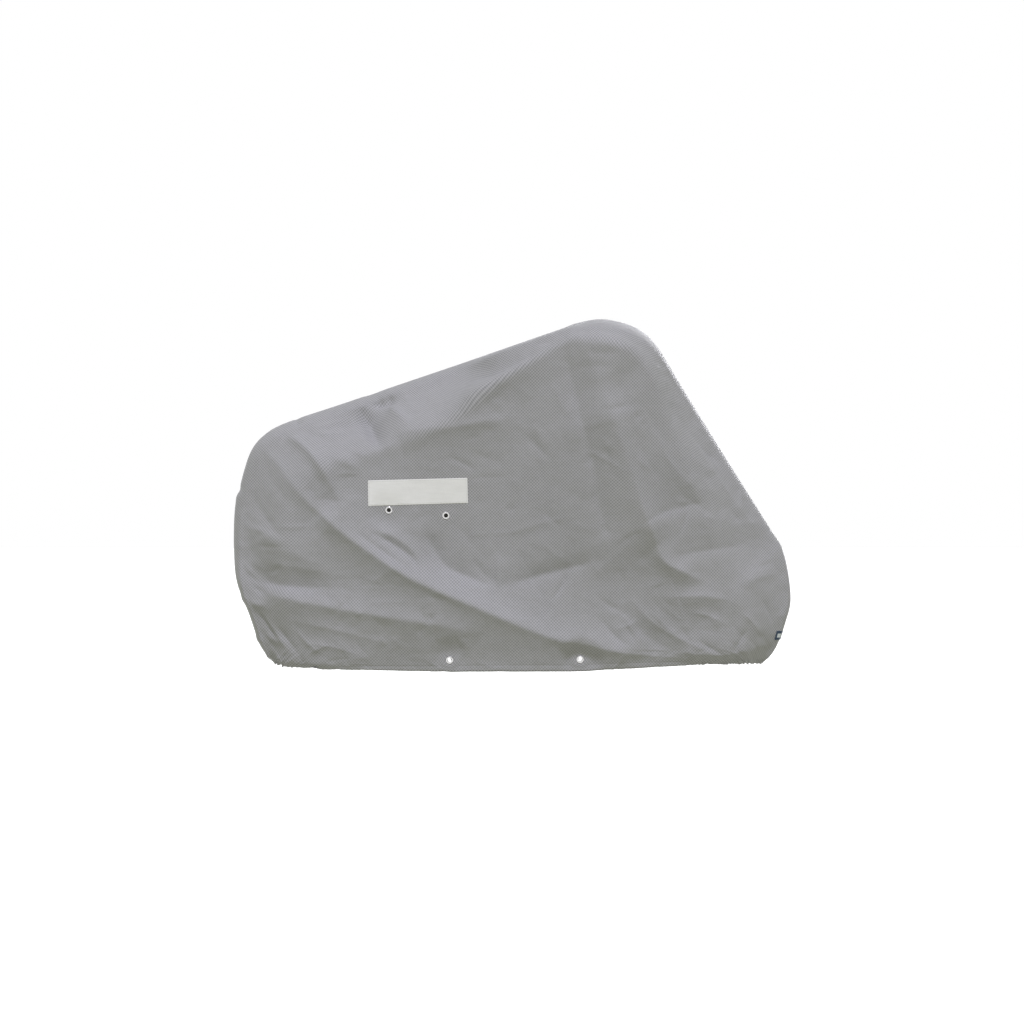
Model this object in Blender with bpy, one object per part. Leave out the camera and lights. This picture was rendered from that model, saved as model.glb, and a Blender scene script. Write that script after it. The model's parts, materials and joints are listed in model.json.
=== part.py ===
"""A fitted bicycle cover, worn: two side panels of coated cloth sewn together along a centre seam.

Metres, +Z up, +X towards the front, -Y the near side. The origin lies under the top of the cover,
at its highest point, on the centre plane.

Each panel is a sheet of ribs. A rib leaves the centre seam at right angles, rounds over a narrow
crown, runs down a sloping roof and falls along the wall to the hem. The seam's outline, the hem and
the widths of the ribs come from SECTIONS, and the creases and draped ridges from the fold tables.
"""

import math
from collections import namedtuple

import bpy
import numpy as np
from mathutils import Vector
from mathutils.bvhtree import BVHTree

CLOTH = 0.002  # thickness of the sheet
GAP = 0.0003  # clearance between neighbouring pieces
TOP = 0.002  # height of the outer face over the origin, at the peak

NEAR, FAR = -1, 1  # the sides of the centre plane

# The mesh of a panel: rib spacing along the seam, and rows over the crown and down the wall.
NEAR_PITCH, NEAR_WALL_ROWS = 0.052, 18
FAR_PITCH, FAR_WALL_ROWS = 0.078, 13
CROWN_ROWS = 4

# A row for each rib that shapes the cover, from the rear foot of the seam over the top to the front
# foot: where it leaves the seam and meets the hem, the half width and depth of its rounded crown,
# the depth at which the roof turns into the wall, and the half widths there and at the hem.
Section = namedtuple(
    "Section", "seam_x seam_z hem_x hem_z crown_half crown_depth roof_depth belly_half hem_half"
)
SECTIONS = (
    Section(-1.104, -1.166, -0.930, -1.179, 0.030, 0.015, 0.10, 0.130, 0.150),  # rear foot
    Section(-1.145, -1.109, -0.885, -1.180, 0.040, 0.020, 0.14, 0.140, 0.160),
    Section(-1.186, -0.994, -0.840, -1.181, 0.050, 0.030, 0.20, 0.150, 0.170),
    Section(-1.227, -0.886, -0.790, -1.181, 0.060, 0.035, 0.24, 0.160, 0.180),
    Section(-1.237, -0.777, -0.740, -1.182, 0.065, 0.040, 0.26, 0.170, 0.185),  # rearmost
    Section(-1.234, -0.642, -0.690, -1.183, 0.070, 0.040, 0.27, 0.175, 0.190),
    Section(-1.217, -0.564, -0.655, -1.184, 0.070, 0.040, 0.27, 0.180, 0.195),
    Section(-1.181, -0.449, -0.610, -1.184, 0.075, 0.040, 0.26, 0.185, 0.200),
    Section(-1.131, -0.388, -0.575, -1.185, 0.080, 0.040, 0.24, 0.190, 0.205),  # rear shoulder
    Section(-1.055, -0.347, -0.540, -1.185, 0.080, 0.040, 0.22, 0.195, 0.210),
    Section(-0.879, -0.288, -0.480, -1.185, 0.075, 0.035, 0.20, 0.205, 0.215),
    Section(-0.608, -0.1965, -0.385, -1.185, 0.065, 0.030, 0.20, 0.230, 0.220),  # middle of the roof
    Section(-0.338, -0.1045, -0.285, -1.185, 0.080, 0.030, 0.12, 0.262, 0.225),
    Section(-0.135, -0.031, -0.200, -1.185, 0.180, 0.032, 0.07, 0.290, 0.225),
    Section(-0.081, -0.0115, -0.175, -1.185, 0.225, 0.035, 0.07, 0.298, 0.225),
    Section(0.000, 0.000, -0.145, -1.185, 0.250, 0.038, 0.08, 0.303, 0.225),  # peak
    Section(0.081, -0.014, -0.110, -1.184, 0.245, 0.040, 0.09, 0.303, 0.222),
    Section(0.139, -0.044, -0.080, -1.183, 0.220, 0.042, 0.11, 0.298, 0.220),
    Section(0.189, -0.098, -0.050, -1.182, 0.175, 0.040, 0.14, 0.285, 0.218),
    Section(0.270, -0.226, 0.005, -1.179, 0.120, 0.036, 0.21, 0.255, 0.210),
    Section(0.423, -0.466, 0.095, -1.176, 0.075, 0.030, 0.25, 0.210, 0.195),  # front slope
    Section(0.568, -0.696, 0.180, -1.172, 0.045, 0.022, 0.26, 0.170, 0.180),
    Section(0.621, -0.788, 0.225, -1.170, 0.038, 0.018, 0.25, 0.155, 0.170),
    Section(0.6445, -0.933, 0.285, -1.168, 0.032, 0.015, 0.22, 0.140, 0.155),  # nose
    Section(0.628, -1.021, 0.325, -1.167, 0.028, 0.014, 0.18, 0.130, 0.145),
    Section(0.5895, -1.122, 0.365, -1.166, 0.025, 0.012, 0.13, 0.120, 0.135),
    Section(0.552, -1.166, 0.395, -1.166, 0.022, 0.012, 0.10, 0.110, 0.125),  # front foot
)

# A row for each fold: the line of its crest from end to end, as x and z; how far it stands out of
# the wall, or into it if below zero; and how wide it is on its upper side and on its lower side.
# The line runs from rear to front, or downwards where it is steep, and then its upper side is the
# one towards the front.
Fold = namedtuple("Fold", "line rise upper lower")
NEAR_FOLDS = (
    # the long ridge from the rear shoulder down to the front of the hem
    Fold(
        ((-1.155, -0.461), (-1.005, -0.612), (-0.729, -0.818), (-0.391, -0.985), (0.110, -1.137)),
        0.036, 0.085, 0.042,
    ),
    # the ridge under it at the rear, and the trough between them
    Fold(((-1.190, -0.905), (-0.892, -0.983), (-0.642, -1.037), (-0.330, -1.092)), 0.018, 0.060, 0.032),
    Fold(((-1.215, -0.800), (-1.030, -0.880), (-0.800, -0.940)), -0.016, 0.055, 0.045),
    # the groove beside the rear shoulder
    Fold(((-1.042, -0.392), (-0.998, -0.442), (-0.904, -0.592), (-0.842, -0.680)), -0.015, 0.030, 0.036),
    # the crease that drops from the roof, and the edge where the roof turns into the wall
    Fold(((-0.800, -0.300), (-0.742, -0.373), (-0.704, -0.500)), 0.017, 0.050, 0.028),
    Fold(((-0.717, -0.370), (-0.580, -0.374), (-0.391, -0.345), (-0.250, -0.320)), 0.018, 0.080, 0.032),
    # the taut ridge that comes down from the peak to the roof's edge, and the dip over it
    Fold(((-0.516, -0.330), (-0.329, -0.192), (-0.150, -0.078)), 0.018, 0.045, 0.045),
    Fold(((-0.466, -0.214), (-0.316, -0.146), (-0.180, -0.088)), -0.010, 0.022, 0.028),
    # the soft upright fold that hangs from the peak and turns forward, and its trough
    Fold(
        ((-0.115, -0.110), (-0.060, -0.440), (0.000, -0.655), (0.130, -0.815), (0.347, -0.899)),
        0.020, 0.100, 0.045,
    ),
    Fold(((0.010, -0.200), (0.055, -0.480), (0.120, -0.660), (0.260, -0.790)), -0.014, 0.045, 0.060),
    # the trough under the middle of the wall and the ridge beside the upper eyelets
    Fold(((-0.370, -0.905), (-0.200, -0.862), (0.034, -0.805)), -0.014, 0.070, 0.040),
    Fold(((-0.617, -0.735), (-0.554, -0.818), (-0.440, -0.895)), 0.013, 0.030, 0.040),
    # the creases over the front foot
    Fold(((0.090, -0.925), (0.147, -1.005), (0.210, -1.068), (0.310, -1.135)), -0.020, 0.034, 0.034),
    Fold(((0.235, -0.799), (0.423, -0.767), (0.575, -0.735)), -0.011, 0.045, 0.055),
    Fold(((0.190, -0.905), (0.360, -0.920), (0.520, -0.960)), 0.017, 0.050, 0.034),
    # the gathers that the elastic draws in at the rear
    Fold(((-1.207, -0.868), (-1.146, -0.913)), 0.009, 0.018, 0.018),
    Fold(((-1.193, -0.946), (-1.118, -0.975)), 0.010, 0.018, 0.018),
    Fold(((-1.149, -1.060), (-1.060, -1.095)), 0.010, 0.018, 0.018),
    Fold(((-1.120, -1.125), (-1.030, -1.140)), -0.008, 0.018, 0.018),
)
FAR_FOLDS = (
    Fold(
        ((-1.120, -0.520), (-0.820, -0.760), (-0.420, -0.985), (0.050, -1.120)),
        0.028, 0.090, 0.055,
    ),
    Fold(((-1.180, -0.930), (-0.850, -1.010), (-0.450, -1.080)), 0.014, 0.060, 0.045),
    Fold(((-0.740, -0.350), (-0.500, -0.365), (-0.260, -0.320)), 0.016, 0.090, 0.050),
    Fold(
        ((-0.090, -0.120), (-0.020, -0.450), (0.080, -0.720), (0.330, -0.900)),
        0.018, 0.100, 0.060,
    ),
    Fold(((0.100, -0.930), (0.190, -1.030), (0.310, -1.130)), -0.016, 0.045, 0.045),
)
FOLD_SAMPLES = 48
FOLD_FADE = 0.22  # share of a fold's length over which each end dies away
FOLD_ENDS = 0.15  # share of a fold's rise that is left at its ends
SEAM_CALM = 0.04  # folds grow to their full rise over this depth below the crown

# Eyelets, as x and z. The far panel has the two of the hem alone, a little lower and further out.
HEM_EYELETS = (("rear", -0.506, -1.146), ("front", -0.070, -1.1436))
FAR_EYELETS = (("rear", -0.5107, -1.1571), ("front", -0.0649, -1.1547))
LOCK_EYELETS = (("rear", -0.709, -0.6445), ("front", -0.518, -0.6625))
CALM_RADIUS = 0.075  # folds die away around an eyelet, so that it lies flat
HOLE_RADIUS = 0.0068
BARREL_RADIUS = 0.0080
FLANGE_RADIUS = 0.0122
FLANGE_THICKNESS = 0.0012
EYELET_GAP = 0.0005  # from each flange to the cloth, which isn't quite flat there
EYELET_SIDES = 12

# The strips that hold the eyelets, as x and z of their edges. They lie flush in the panels.
HEM_STRIP = ((-0.600, 0.025), (-1.300, -1.122))
LOCK_STRIP = ((-0.762, -0.468), (-0.690, -0.600))

# The blank pale patch: its corners on the near wall, clockwise from the upper rear one.
PATCH = ((-0.779, -0.5455), (-0.4465, -0.537), (-0.4445, -0.621), (-0.778, -0.631))
PATCH_THICKNESS = 0.0014
# The small tab that is sewn into the seam at the front.
TAB = ((0.595, -1.052), (0.6180, -1.052), (0.6100, -1.082), (0.587, -1.082))
TAB_THICKNESS = 0.0012
SKIN_MARGIN = 0.09  # how far the uncut skin of such a piece reaches past its corners

# How far from the centre plane a cutter starts and ends, to pass through one wall only.
CLEAR_INSIDE, CLEAR_OUTSIDE = 0.05, 0.60

# base colour, roughness, metallic
CLOTH_GREY = ("cover cloth", (0.295, 0.295, 0.300), 0.62, 0.0)
PALE = ("pale patch", (0.630, 0.630, 0.610), 0.55, 0.0)
NAVY = ("navy tab", (0.016, 0.035, 0.060), 0.70, 0.0)
NICKEL = ("nickel", (0.830, 0.820, 0.800), 0.25, 1.0)


def smooth(x):
    x = np.clip(x, 0.0, 1.0)
    return x * x * (3.0 - 2.0 * x)


def curve_through(points, places):
    """A Catmull-Rom curve through rows of numbers, read at places, where row i is at place i."""
    rows = np.asarray(points, float)
    rows = np.vstack([2 * rows[0] - rows[1], rows, 2 * rows[-1] - rows[-2]])
    first = np.clip(np.floor(places).astype(int), 0, len(points) - 2)
    u = (places - first)[:, None]
    a, b, c, d = (rows[first + k] for k in range(4))
    return 0.5 * (2 * b + (c - a) * u + (2 * a - 5 * b + 4 * c - d) * u**2 + (3 * b - a - 3 * c + d) * u**3)


def rib_places(pitch):
    """Places of the ribs along the seam: one at each section, and others about a pitch apart."""
    places = []
    for i, (a, b) in enumerate(zip(SECTIONS, SECTIONS[1:])):
        length = math.hypot(b.seam_x - a.seam_x, b.seam_z - a.seam_z)
        count = max(1, round(length / pitch))
        places += [i + k / count for k in range(count)]
    return np.array(places + [len(SECTIONS) - 1.0])


def unfolded_wall(pitch, wall_rows):
    """The smooth outer face as x, half width, z, for each rib and row, and the depth along the rib."""
    ribs = curve_through(SECTIONS, rib_places(pitch))
    seam, hem = ribs[:, None, 0:2], ribs[:, None, 2:4]
    crown_half, crown_depth, roof_depth, belly_half, hem_half = (ribs[:, k, None] for k in range(4, 9))
    length = np.linalg.norm(hem - seam, axis=2)
    over_crown = 1 - np.cos(np.linspace(0, math.pi / 2, CROWN_ROWS + 1))
    down_wall = np.linspace(0, 1, wall_rows + 1)[1:]
    depth = np.hstack([crown_depth * over_crown, crown_depth + (length - crown_depth) * down_wall])
    x_and_z = seam + (hem - seam) * (depth / length)[:, :, None]
    crown = crown_half * np.sqrt(1 - (1 - np.minimum(depth / crown_depth, 1)) ** 2)
    roof = (belly_half - crown_half) * smooth(depth / roof_depth)
    below_roof = (depth - roof_depth) / np.maximum(length - roof_depth, 0.01)
    half = crown + roof + (hem_half - belly_half) * smooth(below_roof)
    return np.stack([x_and_z[:, :, 0], half, x_and_z[:, :, 1] + TOP], axis=2), depth, crown_depth


def outward(points):
    """The unit normals of a grid of points on the far side, which leave the centre plane."""
    normals = np.cross(np.gradient(points, axis=0), np.gradient(points, axis=1))
    normals[:, 0, 1] = 0  # along the seam the sheet is square to the centre plane
    normals /= np.linalg.norm(normals, axis=2, keepdims=True)
    return normals * np.sign(normals[:, -1, 1]).mean()


def fold_height(fold, x, z):
    """How far one fold lifts each point of the wall."""
    places = np.linspace(0, len(fold.line) - 1, FOLD_SAMPLES)
    line = curve_through(fold.line, places)
    along = np.gradient(line, axis=0)
    along /= np.linalg.norm(along, axis=1, keepdims=True)
    away = np.stack([x, z], axis=-1)[:, :, None, :] - line
    distance = np.linalg.norm(away, axis=3)
    nearest = distance.argmin(axis=2)
    distance = np.take_along_axis(distance, nearest[:, :, None], axis=2)[:, :, 0]
    side = np.take_along_axis(away, nearest[:, :, None, None], axis=2)[:, :, 0]
    direction = along[nearest]
    is_upper = direction[..., 0] * side[..., 1] - direction[..., 1] * side[..., 0] > 0
    width = np.where(is_upper, fold.upper, fold.lower)
    share = nearest / (FOLD_SAMPLES - 1)
    fade = smooth(share / FOLD_FADE) * smooth((1 - share) / FOLD_FADE)
    return fold.rise * (FOLD_ENDS + (1 - FOLD_ENDS) * fade) * np.exp(-((distance / width) ** 2))


def calm(x, z, eyelets):
    """0 at an eyelet and 1 well away from all of them."""
    result = np.ones_like(x)
    for _, eyelet_x, eyelet_z in eyelets:
        distance = np.hypot(x - eyelet_x, z - eyelet_z)
        result *= smooth((distance - FLANGE_RADIUS) / CALM_RADIUS)
    return result


def folded_wall(side, folds, eyelets, pitch, wall_rows):
    """The outer face of one panel with its folds, and its outward normals."""
    points, depth, crown_depth = unfolded_wall(pitch, wall_rows)
    x, z = points[:, :, 0], points[:, :, 2] - TOP
    height = sum(fold_height(fold, x, z) for fold in folds)
    height *= calm(x, z, eyelets) * smooth(depth / (crown_depth + SEAM_CALM))
    points = points + outward(points) * height[:, :, None]
    normals = outward(points)
    points[:, :, 1] += GAP / 2
    mirror = np.array([1, side, 1])
    return points * mirror, normals * mirror


def sheet_mesh(name, points, normals, outer, inner, side):
    """A closed sheet between two offsets from a grid of points along its normals."""
    ribs, rows = points.shape[:2]
    faces_out = points + normals * outer
    faces_in = points + normals * inner
    vertices = np.concatenate([faces_out.reshape(-1, 3), faces_in.reshape(-1, 3)])
    count = ribs * rows

    def at(i, j):
        return i * rows + j

    faces = []
    for i in range(ribs - 1):
        for j in range(rows - 1):
            a, b, c, d = at(i, j), at(i + 1, j), at(i + 1, j + 1), at(i, j + 1)
            if np.linalg.norm(vertices[a] - vertices[c]) < np.linalg.norm(vertices[b] - vertices[d]):
                pair = (a, b, c), (a, c, d)
            else:
                pair = (a, b, d), (b, c, d)
            for face in pair:
                faces.append(face)
                faces.append(tuple(v + count for v in reversed(face)))
    rim = [at(i, 0) for i in range(ribs)]
    rim += [at(ribs - 1, j) for j in range(1, rows)]
    rim += [at(i, rows - 1) for i in range(ribs - 2, -1, -1)]
    rim += [at(0, j) for j in range(rows - 2, 0, -1)]
    for a, b in zip(rim, rim[1:] + rim[:1]):
        faces.append((b, a, a + count, b + count))
    if side == NEAR:
        faces = [tuple(reversed(face)) for face in faces]
    mesh = bpy.data.meshes.new(name)
    mesh.from_pydata([tuple(v) for v in vertices], [], faces)
    mesh.validate()
    return mesh


def material(name, colour, roughness, metallic):
    made = bpy.data.materials.get(name)
    if made:
        return made
    made = bpy.data.materials.new(name)
    made.use_nodes = True
    shader = made.node_tree.nodes["Principled BSDF"]
    shader.inputs["Base Color"].default_value = (*colour, 1)
    shader.inputs["Roughness"].default_value = roughness
    shader.inputs["Metallic"].default_value = metallic
    made.diffuse_color = (*colour, 1)
    return made


def add_object(name, mesh, finish, smooth_angle=50):
    thing = bpy.data.objects.new(name, mesh)
    bpy.context.scene.collection.objects.link(thing)
    if finish:
        mesh.materials.append(material(*finish))
    mesh.shade_smooth()
    mesh.set_sharp_from_angle(angle=math.radians(smooth_angle))
    return thing


def cutter_between(name, first, last):
    """A hidden closed prism between two rings of as many points."""
    count = len(first)
    faces = [tuple(reversed(range(count))), tuple(range(count, 2 * count))]
    faces += [(k, (k + 1) % count, (k + 1) % count + count, k + count) for k in range(count)]
    mesh = bpy.data.meshes.new(name)
    mesh.from_pydata([*first, *last], [], faces)
    cutter = add_object(name, mesh, None)
    cutter.hide_render = True
    cutter.display_type = "WIRE"
    return cutter


def prism(name, corners, y_from, y_to):
    """A cutter through one side of the cover: corners as x and z, clockwise seen from the near side."""
    return cutter_between(name, *([(x, y, z + TOP) for x, z in corners] for y in (y_from, y_to)))


def window(name, edges, side, grow=0.0):
    """The prism of a strip, grown on every edge for its clearance."""
    (x0, x1), (z0, z1) = edges
    corners = (
        (x0 - grow, z1 + grow), (x1 + grow, z1 + grow), (x1 + grow, z0 - grow), (x0 - grow, z0 - grow)
    )
    return prism(name, corners, *sorted((side * CLEAR_INSIDE, side * CLEAR_OUTSIDE)))


def boolean(thing, operation, other):
    modifier = thing.modifiers.new(other.name, "BOOLEAN")
    modifier.operation = operation
    modifier.solver = "EXACT"
    modifier.object = other


def seat(surface, x, z, side):
    """The point of the outer face at x and z, and its normal, evened over an eyelet's flange."""
    hits = []
    for dx, dz in ((0, 0), (1, 0), (-1, 0), (0, 1), (0, -1)):
        start = Vector((x + dx * FLANGE_RADIUS, side * 2.0, z + TOP + dz * FLANGE_RADIUS))
        point, normal, _, _ = surface.ray_cast(start, Vector((0, -side, 0)))
        hits.append((point, normal))
    normal = sum((hit[1] for hit in hits), Vector()).normalized()
    return hits[0][0], normal


def stand_on(thing, place, normal):
    """Sets a thing at a place with its own Z axis along a normal."""
    thing.location = place
    thing.rotation_mode = "QUATERNION"
    thing.rotation_quaternion = normal.to_track_quat("Z", "Y")
    return thing


def turned(name, profile, finish):
    """A ring turned about Z from a closed profile of radius and height."""
    count, sides = len(profile), EYELET_SIDES
    vertices, faces = [], []
    for k in range(sides):
        angle = 2 * math.pi * k / sides
        vertices += [(r * math.cos(angle), r * math.sin(angle), h) for r, h in profile]
    for k in range(sides):
        here, there = k * count, (k + 1) % sides * count
        for p in range(count):
            q = (p + 1) % count
            faces.append((here + p, there + p, there + q, here + q))
    mesh = bpy.data.meshes.new(name)
    mesh.from_pydata(vertices, [], faces)
    return add_object(name, mesh, finish, smooth_angle=30)


def hole_cutter(name):
    """The cutter of an eyelet's hole in the cloth, along Z."""
    radius = BARREL_RADIUS + GAP
    angles = [2 * math.pi * k / EYELET_SIDES for k in range(EYELET_SIDES)]
    ring = [(radius * math.cos(angle), radius * math.sin(angle)) for angle in angles]
    reach = FLANGE_RADIUS
    return cutter_between(name, [(u, v, -reach) for u, v in ring], [(u, v, reach) for u, v in ring])


def eyelet_profile():
    """The closed section of a two-part eyelet, pressed round the edge of the hole in the cloth."""
    inside = CLOTH / 2 + EYELET_GAP
    outside = inside + FLANGE_THICKNESS
    return (
        (HOLE_RADIUS, -outside + 0.0004),
        (HOLE_RADIUS + 0.0005, -outside),
        (FLANGE_RADIUS - 0.0009, -outside),
        (FLANGE_RADIUS - 0.0003, -inside),
        (BARREL_RADIUS, -inside),
        (BARREL_RADIUS, inside),
        (FLANGE_RADIUS, inside),
        (FLANGE_RADIUS - 0.0006, outside - 0.0003),
        (HOLE_RADIUS + 0.0012, outside),
        (HOLE_RADIUS, outside - 0.0006),
    )


def fit_eyelets(strip, surface, names, eyelets, side):
    """Cuts a strip's holes and sets an eyelet in each."""
    for where, x, z in eyelets:
        point, normal = seat(surface, x, z, side)
        centre = point - normal * CLOTH / 2
        boolean(strip, "DIFFERENCE", stand_on(hole_cutter(f"cut_{names}_{where}"), centre, normal))
        stand_on(turned(f"{names}_{where}", eyelet_profile(), NICKEL), centre, normal)


def panel(name, side, folds, eyelets, pitch, wall_rows):
    """A side panel's sheet, its faces to aim at, and its wall's points and normals."""
    points, normals = folded_wall(side, folds, eyelets, pitch, wall_rows)
    mesh = sheet_mesh(name, points, normals, 0.0, -CLOTH, side)
    surface = BVHTree.FromPolygons([v.co for v in mesh.vertices], [p.vertices for p in mesh.polygons])
    return add_object(name, mesh, CLOTH_GREY), surface, points, normals


def strip_from(name, cover, edges, side):
    """Cuts a window in a panel and makes the strip that fills it, with a gap all round."""
    strip = add_object(name, cover.data.copy(), None)
    boolean(strip, "INTERSECT", window(f"shape_{name}", edges, side))
    boolean(cover, "DIFFERENCE", window(f"window_{name}", edges, side, GAP))
    return strip


def skin(name, points, normals, corners, thickness, finish):
    """A thin piece sewn on the near wall, cut to corners from a skin that follows the cloth."""
    xs, zs = [c[0] for c in corners], [c[1] for c in corners]
    x, z = points[:, :, 0], points[:, :, 2] - TOP
    beside = (x > min(xs) - SKIN_MARGIN) & (x < max(xs) + SKIN_MARGIN)
    level = (z > min(zs) - SKIN_MARGIN) & (z < max(zs) + SKIN_MARGIN)
    inside = beside & level
    ribs, rows = np.nonzero(inside.any(axis=1))[0], np.nonzero(inside.any(axis=0))[0]
    part = slice(ribs[0], ribs[-1] + 1), slice(rows[0], rows[-1] + 1)
    mesh = sheet_mesh(name, points[part], normals[part], GAP + thickness, GAP, NEAR)
    piece = add_object(name, mesh, finish)
    boolean(piece, "INTERSECT", prism(f"shape_{name}", corners, -CLEAR_OUTSIDE, -GAP / 2))
    return piece


def build():
    for thing in list(bpy.data.objects):
        bpy.data.objects.remove(thing, do_unlink=True)
    near, near_surface, points, normals = panel(
        "panel_near", NEAR, NEAR_FOLDS, HEM_EYELETS + LOCK_EYELETS, NEAR_PITCH, NEAR_WALL_ROWS
    )
    far, far_surface, _, _ = panel("panel_far", FAR, FAR_FOLDS, FAR_EYELETS, FAR_PITCH, FAR_WALL_ROWS)
    hem_near = strip_from("hem_strip_near", near, HEM_STRIP, NEAR)
    lock = strip_from("lock_strip", near, LOCK_STRIP, NEAR)
    hem_far = strip_from("hem_strip_far", far, HEM_STRIP, FAR)
    fit_eyelets(hem_near, near_surface, "hem_eyelet_near", HEM_EYELETS, NEAR)
    fit_eyelets(lock, near_surface, "lock_eyelet", LOCK_EYELETS, NEAR)
    fit_eyelets(hem_far, far_surface, "hem_eyelet_far", FAR_EYELETS, FAR)
    skin("pale_patch", points, normals, PATCH, PATCH_THICKNESS, PALE)
    skin("seam_tab", points, normals, TAB, TAB_THICKNESS, NAVY)


build()
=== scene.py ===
"""The looks of a worn, fitted bicycle cover: two side panels of coated grey cloth sewn together
along a centre seam, with a turned and gathered hem, metal eyelets, a blank pale patch and a small
navy tab in the seam.

Metres, +Z up, +X towards the front, -Y the near side. The origin lies under the highest point of the
seam. The cloth is made as ribs that leave the seam at right angles, round over a crown, run down a
sloping roof and fall along the wall to the hem, and the fold tables raise its creases.
"""

import json
import math
from collections import namedtuple

import bpy
import numpy as np
from mathutils import Matrix, Vector, noise
from mathutils.bvhtree import BVHTree

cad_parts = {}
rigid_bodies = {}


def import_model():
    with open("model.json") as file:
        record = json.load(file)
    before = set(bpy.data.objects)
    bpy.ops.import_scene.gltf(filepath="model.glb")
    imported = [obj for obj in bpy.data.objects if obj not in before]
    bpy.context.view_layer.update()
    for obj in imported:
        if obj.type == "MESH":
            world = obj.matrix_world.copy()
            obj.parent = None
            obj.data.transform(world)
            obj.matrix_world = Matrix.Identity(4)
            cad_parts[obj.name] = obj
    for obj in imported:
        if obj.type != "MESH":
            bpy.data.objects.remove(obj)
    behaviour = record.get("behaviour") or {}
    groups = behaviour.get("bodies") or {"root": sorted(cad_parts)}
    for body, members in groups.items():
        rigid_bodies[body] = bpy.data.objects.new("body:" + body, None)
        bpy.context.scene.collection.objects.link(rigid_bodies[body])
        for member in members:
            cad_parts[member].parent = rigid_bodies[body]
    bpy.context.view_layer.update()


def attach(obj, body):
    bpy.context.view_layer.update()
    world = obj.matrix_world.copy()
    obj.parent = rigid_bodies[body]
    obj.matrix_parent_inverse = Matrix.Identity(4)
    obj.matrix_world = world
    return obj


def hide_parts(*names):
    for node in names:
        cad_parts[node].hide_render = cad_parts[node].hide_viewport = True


for leftover in list(bpy.data.objects):
    bpy.data.objects.remove(leftover, do_unlink=True)
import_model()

TOP = 0.002  # height of the outer face over the origin, at the peak
NEAR, FAR = -1, 1  # the sides of the centre plane

# The camera looks level, square to the centre plane.
FRAME_WIDTH = 3.461  # metres across the picture at the centre plane
LENS, SENSOR = 200.0, 36.0
VIEW_X, VIEW_Z = -0.2974, -0.6490  # the middle of the picture
VIEW_DISTANCE = FRAME_WIDTH * LENS / SENSOR

# A row for each rib that shapes the cover, from the rear foot of the seam over the top to the front
# foot: where it leaves the seam and meets the hem, the half width and depth of its rounded crown,
# the depth at which the roof turns into the wall, and the half widths there and at the hem.
Section = namedtuple(
    "Section", "seam_x seam_z hem_x hem_z crown_half crown_depth roof_depth belly_half hem_half"
)
SECTIONS = (
    Section(-1.104, -1.166, -0.930, -1.179, 0.080, 0.015, 0.10, 0.130, 0.150),  # rear foot
    Section(-1.145, -1.109, -0.885, -1.180, 0.098, 0.018, 0.14, 0.140, 0.160),
    Section(-1.186, -0.994, -0.840, -1.181, 0.104, 0.024, 0.20, 0.150, 0.170),
    Section(-1.227, -0.886, -0.790, -1.181, 0.100, 0.028, 0.24, 0.160, 0.180),
    Section(-1.237, -0.777, -0.740, -1.182, 0.080, 0.036, 0.26, 0.170, 0.185),  # rearmost
    Section(-1.234, -0.642, -0.690, -1.183, 0.070, 0.040, 0.27, 0.175, 0.190),
    Section(-1.217, -0.564, -0.655, -1.184, 0.070, 0.040, 0.27, 0.180, 0.195),
    Section(-1.181, -0.449, -0.610, -1.184, 0.075, 0.040, 0.26, 0.185, 0.200),
    Section(-1.131, -0.388, -0.575, -1.185, 0.080, 0.040, 0.24, 0.190, 0.205),  # rear shoulder
    Section(-1.055, -0.347, -0.540, -1.185, 0.080, 0.040, 0.22, 0.195, 0.210),
    Section(-0.879, -0.288, -0.480, -1.185, 0.075, 0.035, 0.20, 0.205, 0.215),
    Section(-0.608, -0.1965, -0.385, -1.185, 0.065, 0.030, 0.20, 0.230, 0.220),  # middle of the roof
    Section(-0.455, -0.1445, -0.330, -1.185, 0.068, 0.024, 0.17, 0.247, 0.222),
    Section(-0.338, -0.1045, -0.285, -1.185, 0.185, 0.016, 0.12, 0.262, 0.225),
    Section(-0.135, -0.0350, -0.200, -1.185, 0.255, 0.016, 0.07, 0.290, 0.225),
    Section(-0.081, -0.0145, -0.175, -1.185, 0.255, 0.028, 0.07, 0.298, 0.225),
    Section(0.000, 0.000, -0.145, -1.185, 0.250, 0.038, 0.08, 0.303, 0.225),  # peak
    Section(0.081, -0.014, -0.110, -1.184, 0.245, 0.040, 0.09, 0.303, 0.222),
    Section(0.140, -0.041, -0.080, -1.183, 0.220, 0.042, 0.11, 0.298, 0.220),
    Section(0.193, -0.094, -0.050, -1.182, 0.195, 0.030, 0.12, 0.285, 0.218),
    Section(0.273, -0.224, 0.005, -1.179, 0.140, 0.024, 0.17, 0.255, 0.210),
    Section(0.423, -0.466, 0.095, -1.176, 0.085, 0.024, 0.21, 0.210, 0.195),  # front slope
    Section(0.568, -0.696, 0.180, -1.172, 0.045, 0.022, 0.26, 0.170, 0.180),
    Section(0.621, -0.788, 0.225, -1.170, 0.038, 0.018, 0.25, 0.155, 0.170),
    Section(0.6445, -0.933, 0.285, -1.168, 0.032, 0.015, 0.22, 0.140, 0.155),  # nose
    Section(0.628, -1.021, 0.325, -1.167, 0.034, 0.014, 0.18, 0.130, 0.145),
    Section(0.5895, -1.122, 0.365, -1.166, 0.032, 0.012, 0.13, 0.120, 0.135),
    Section(0.552, -1.166, 0.395, -1.166, 0.030, 0.012, 0.10, 0.110, 0.125),  # front foot
)

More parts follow.
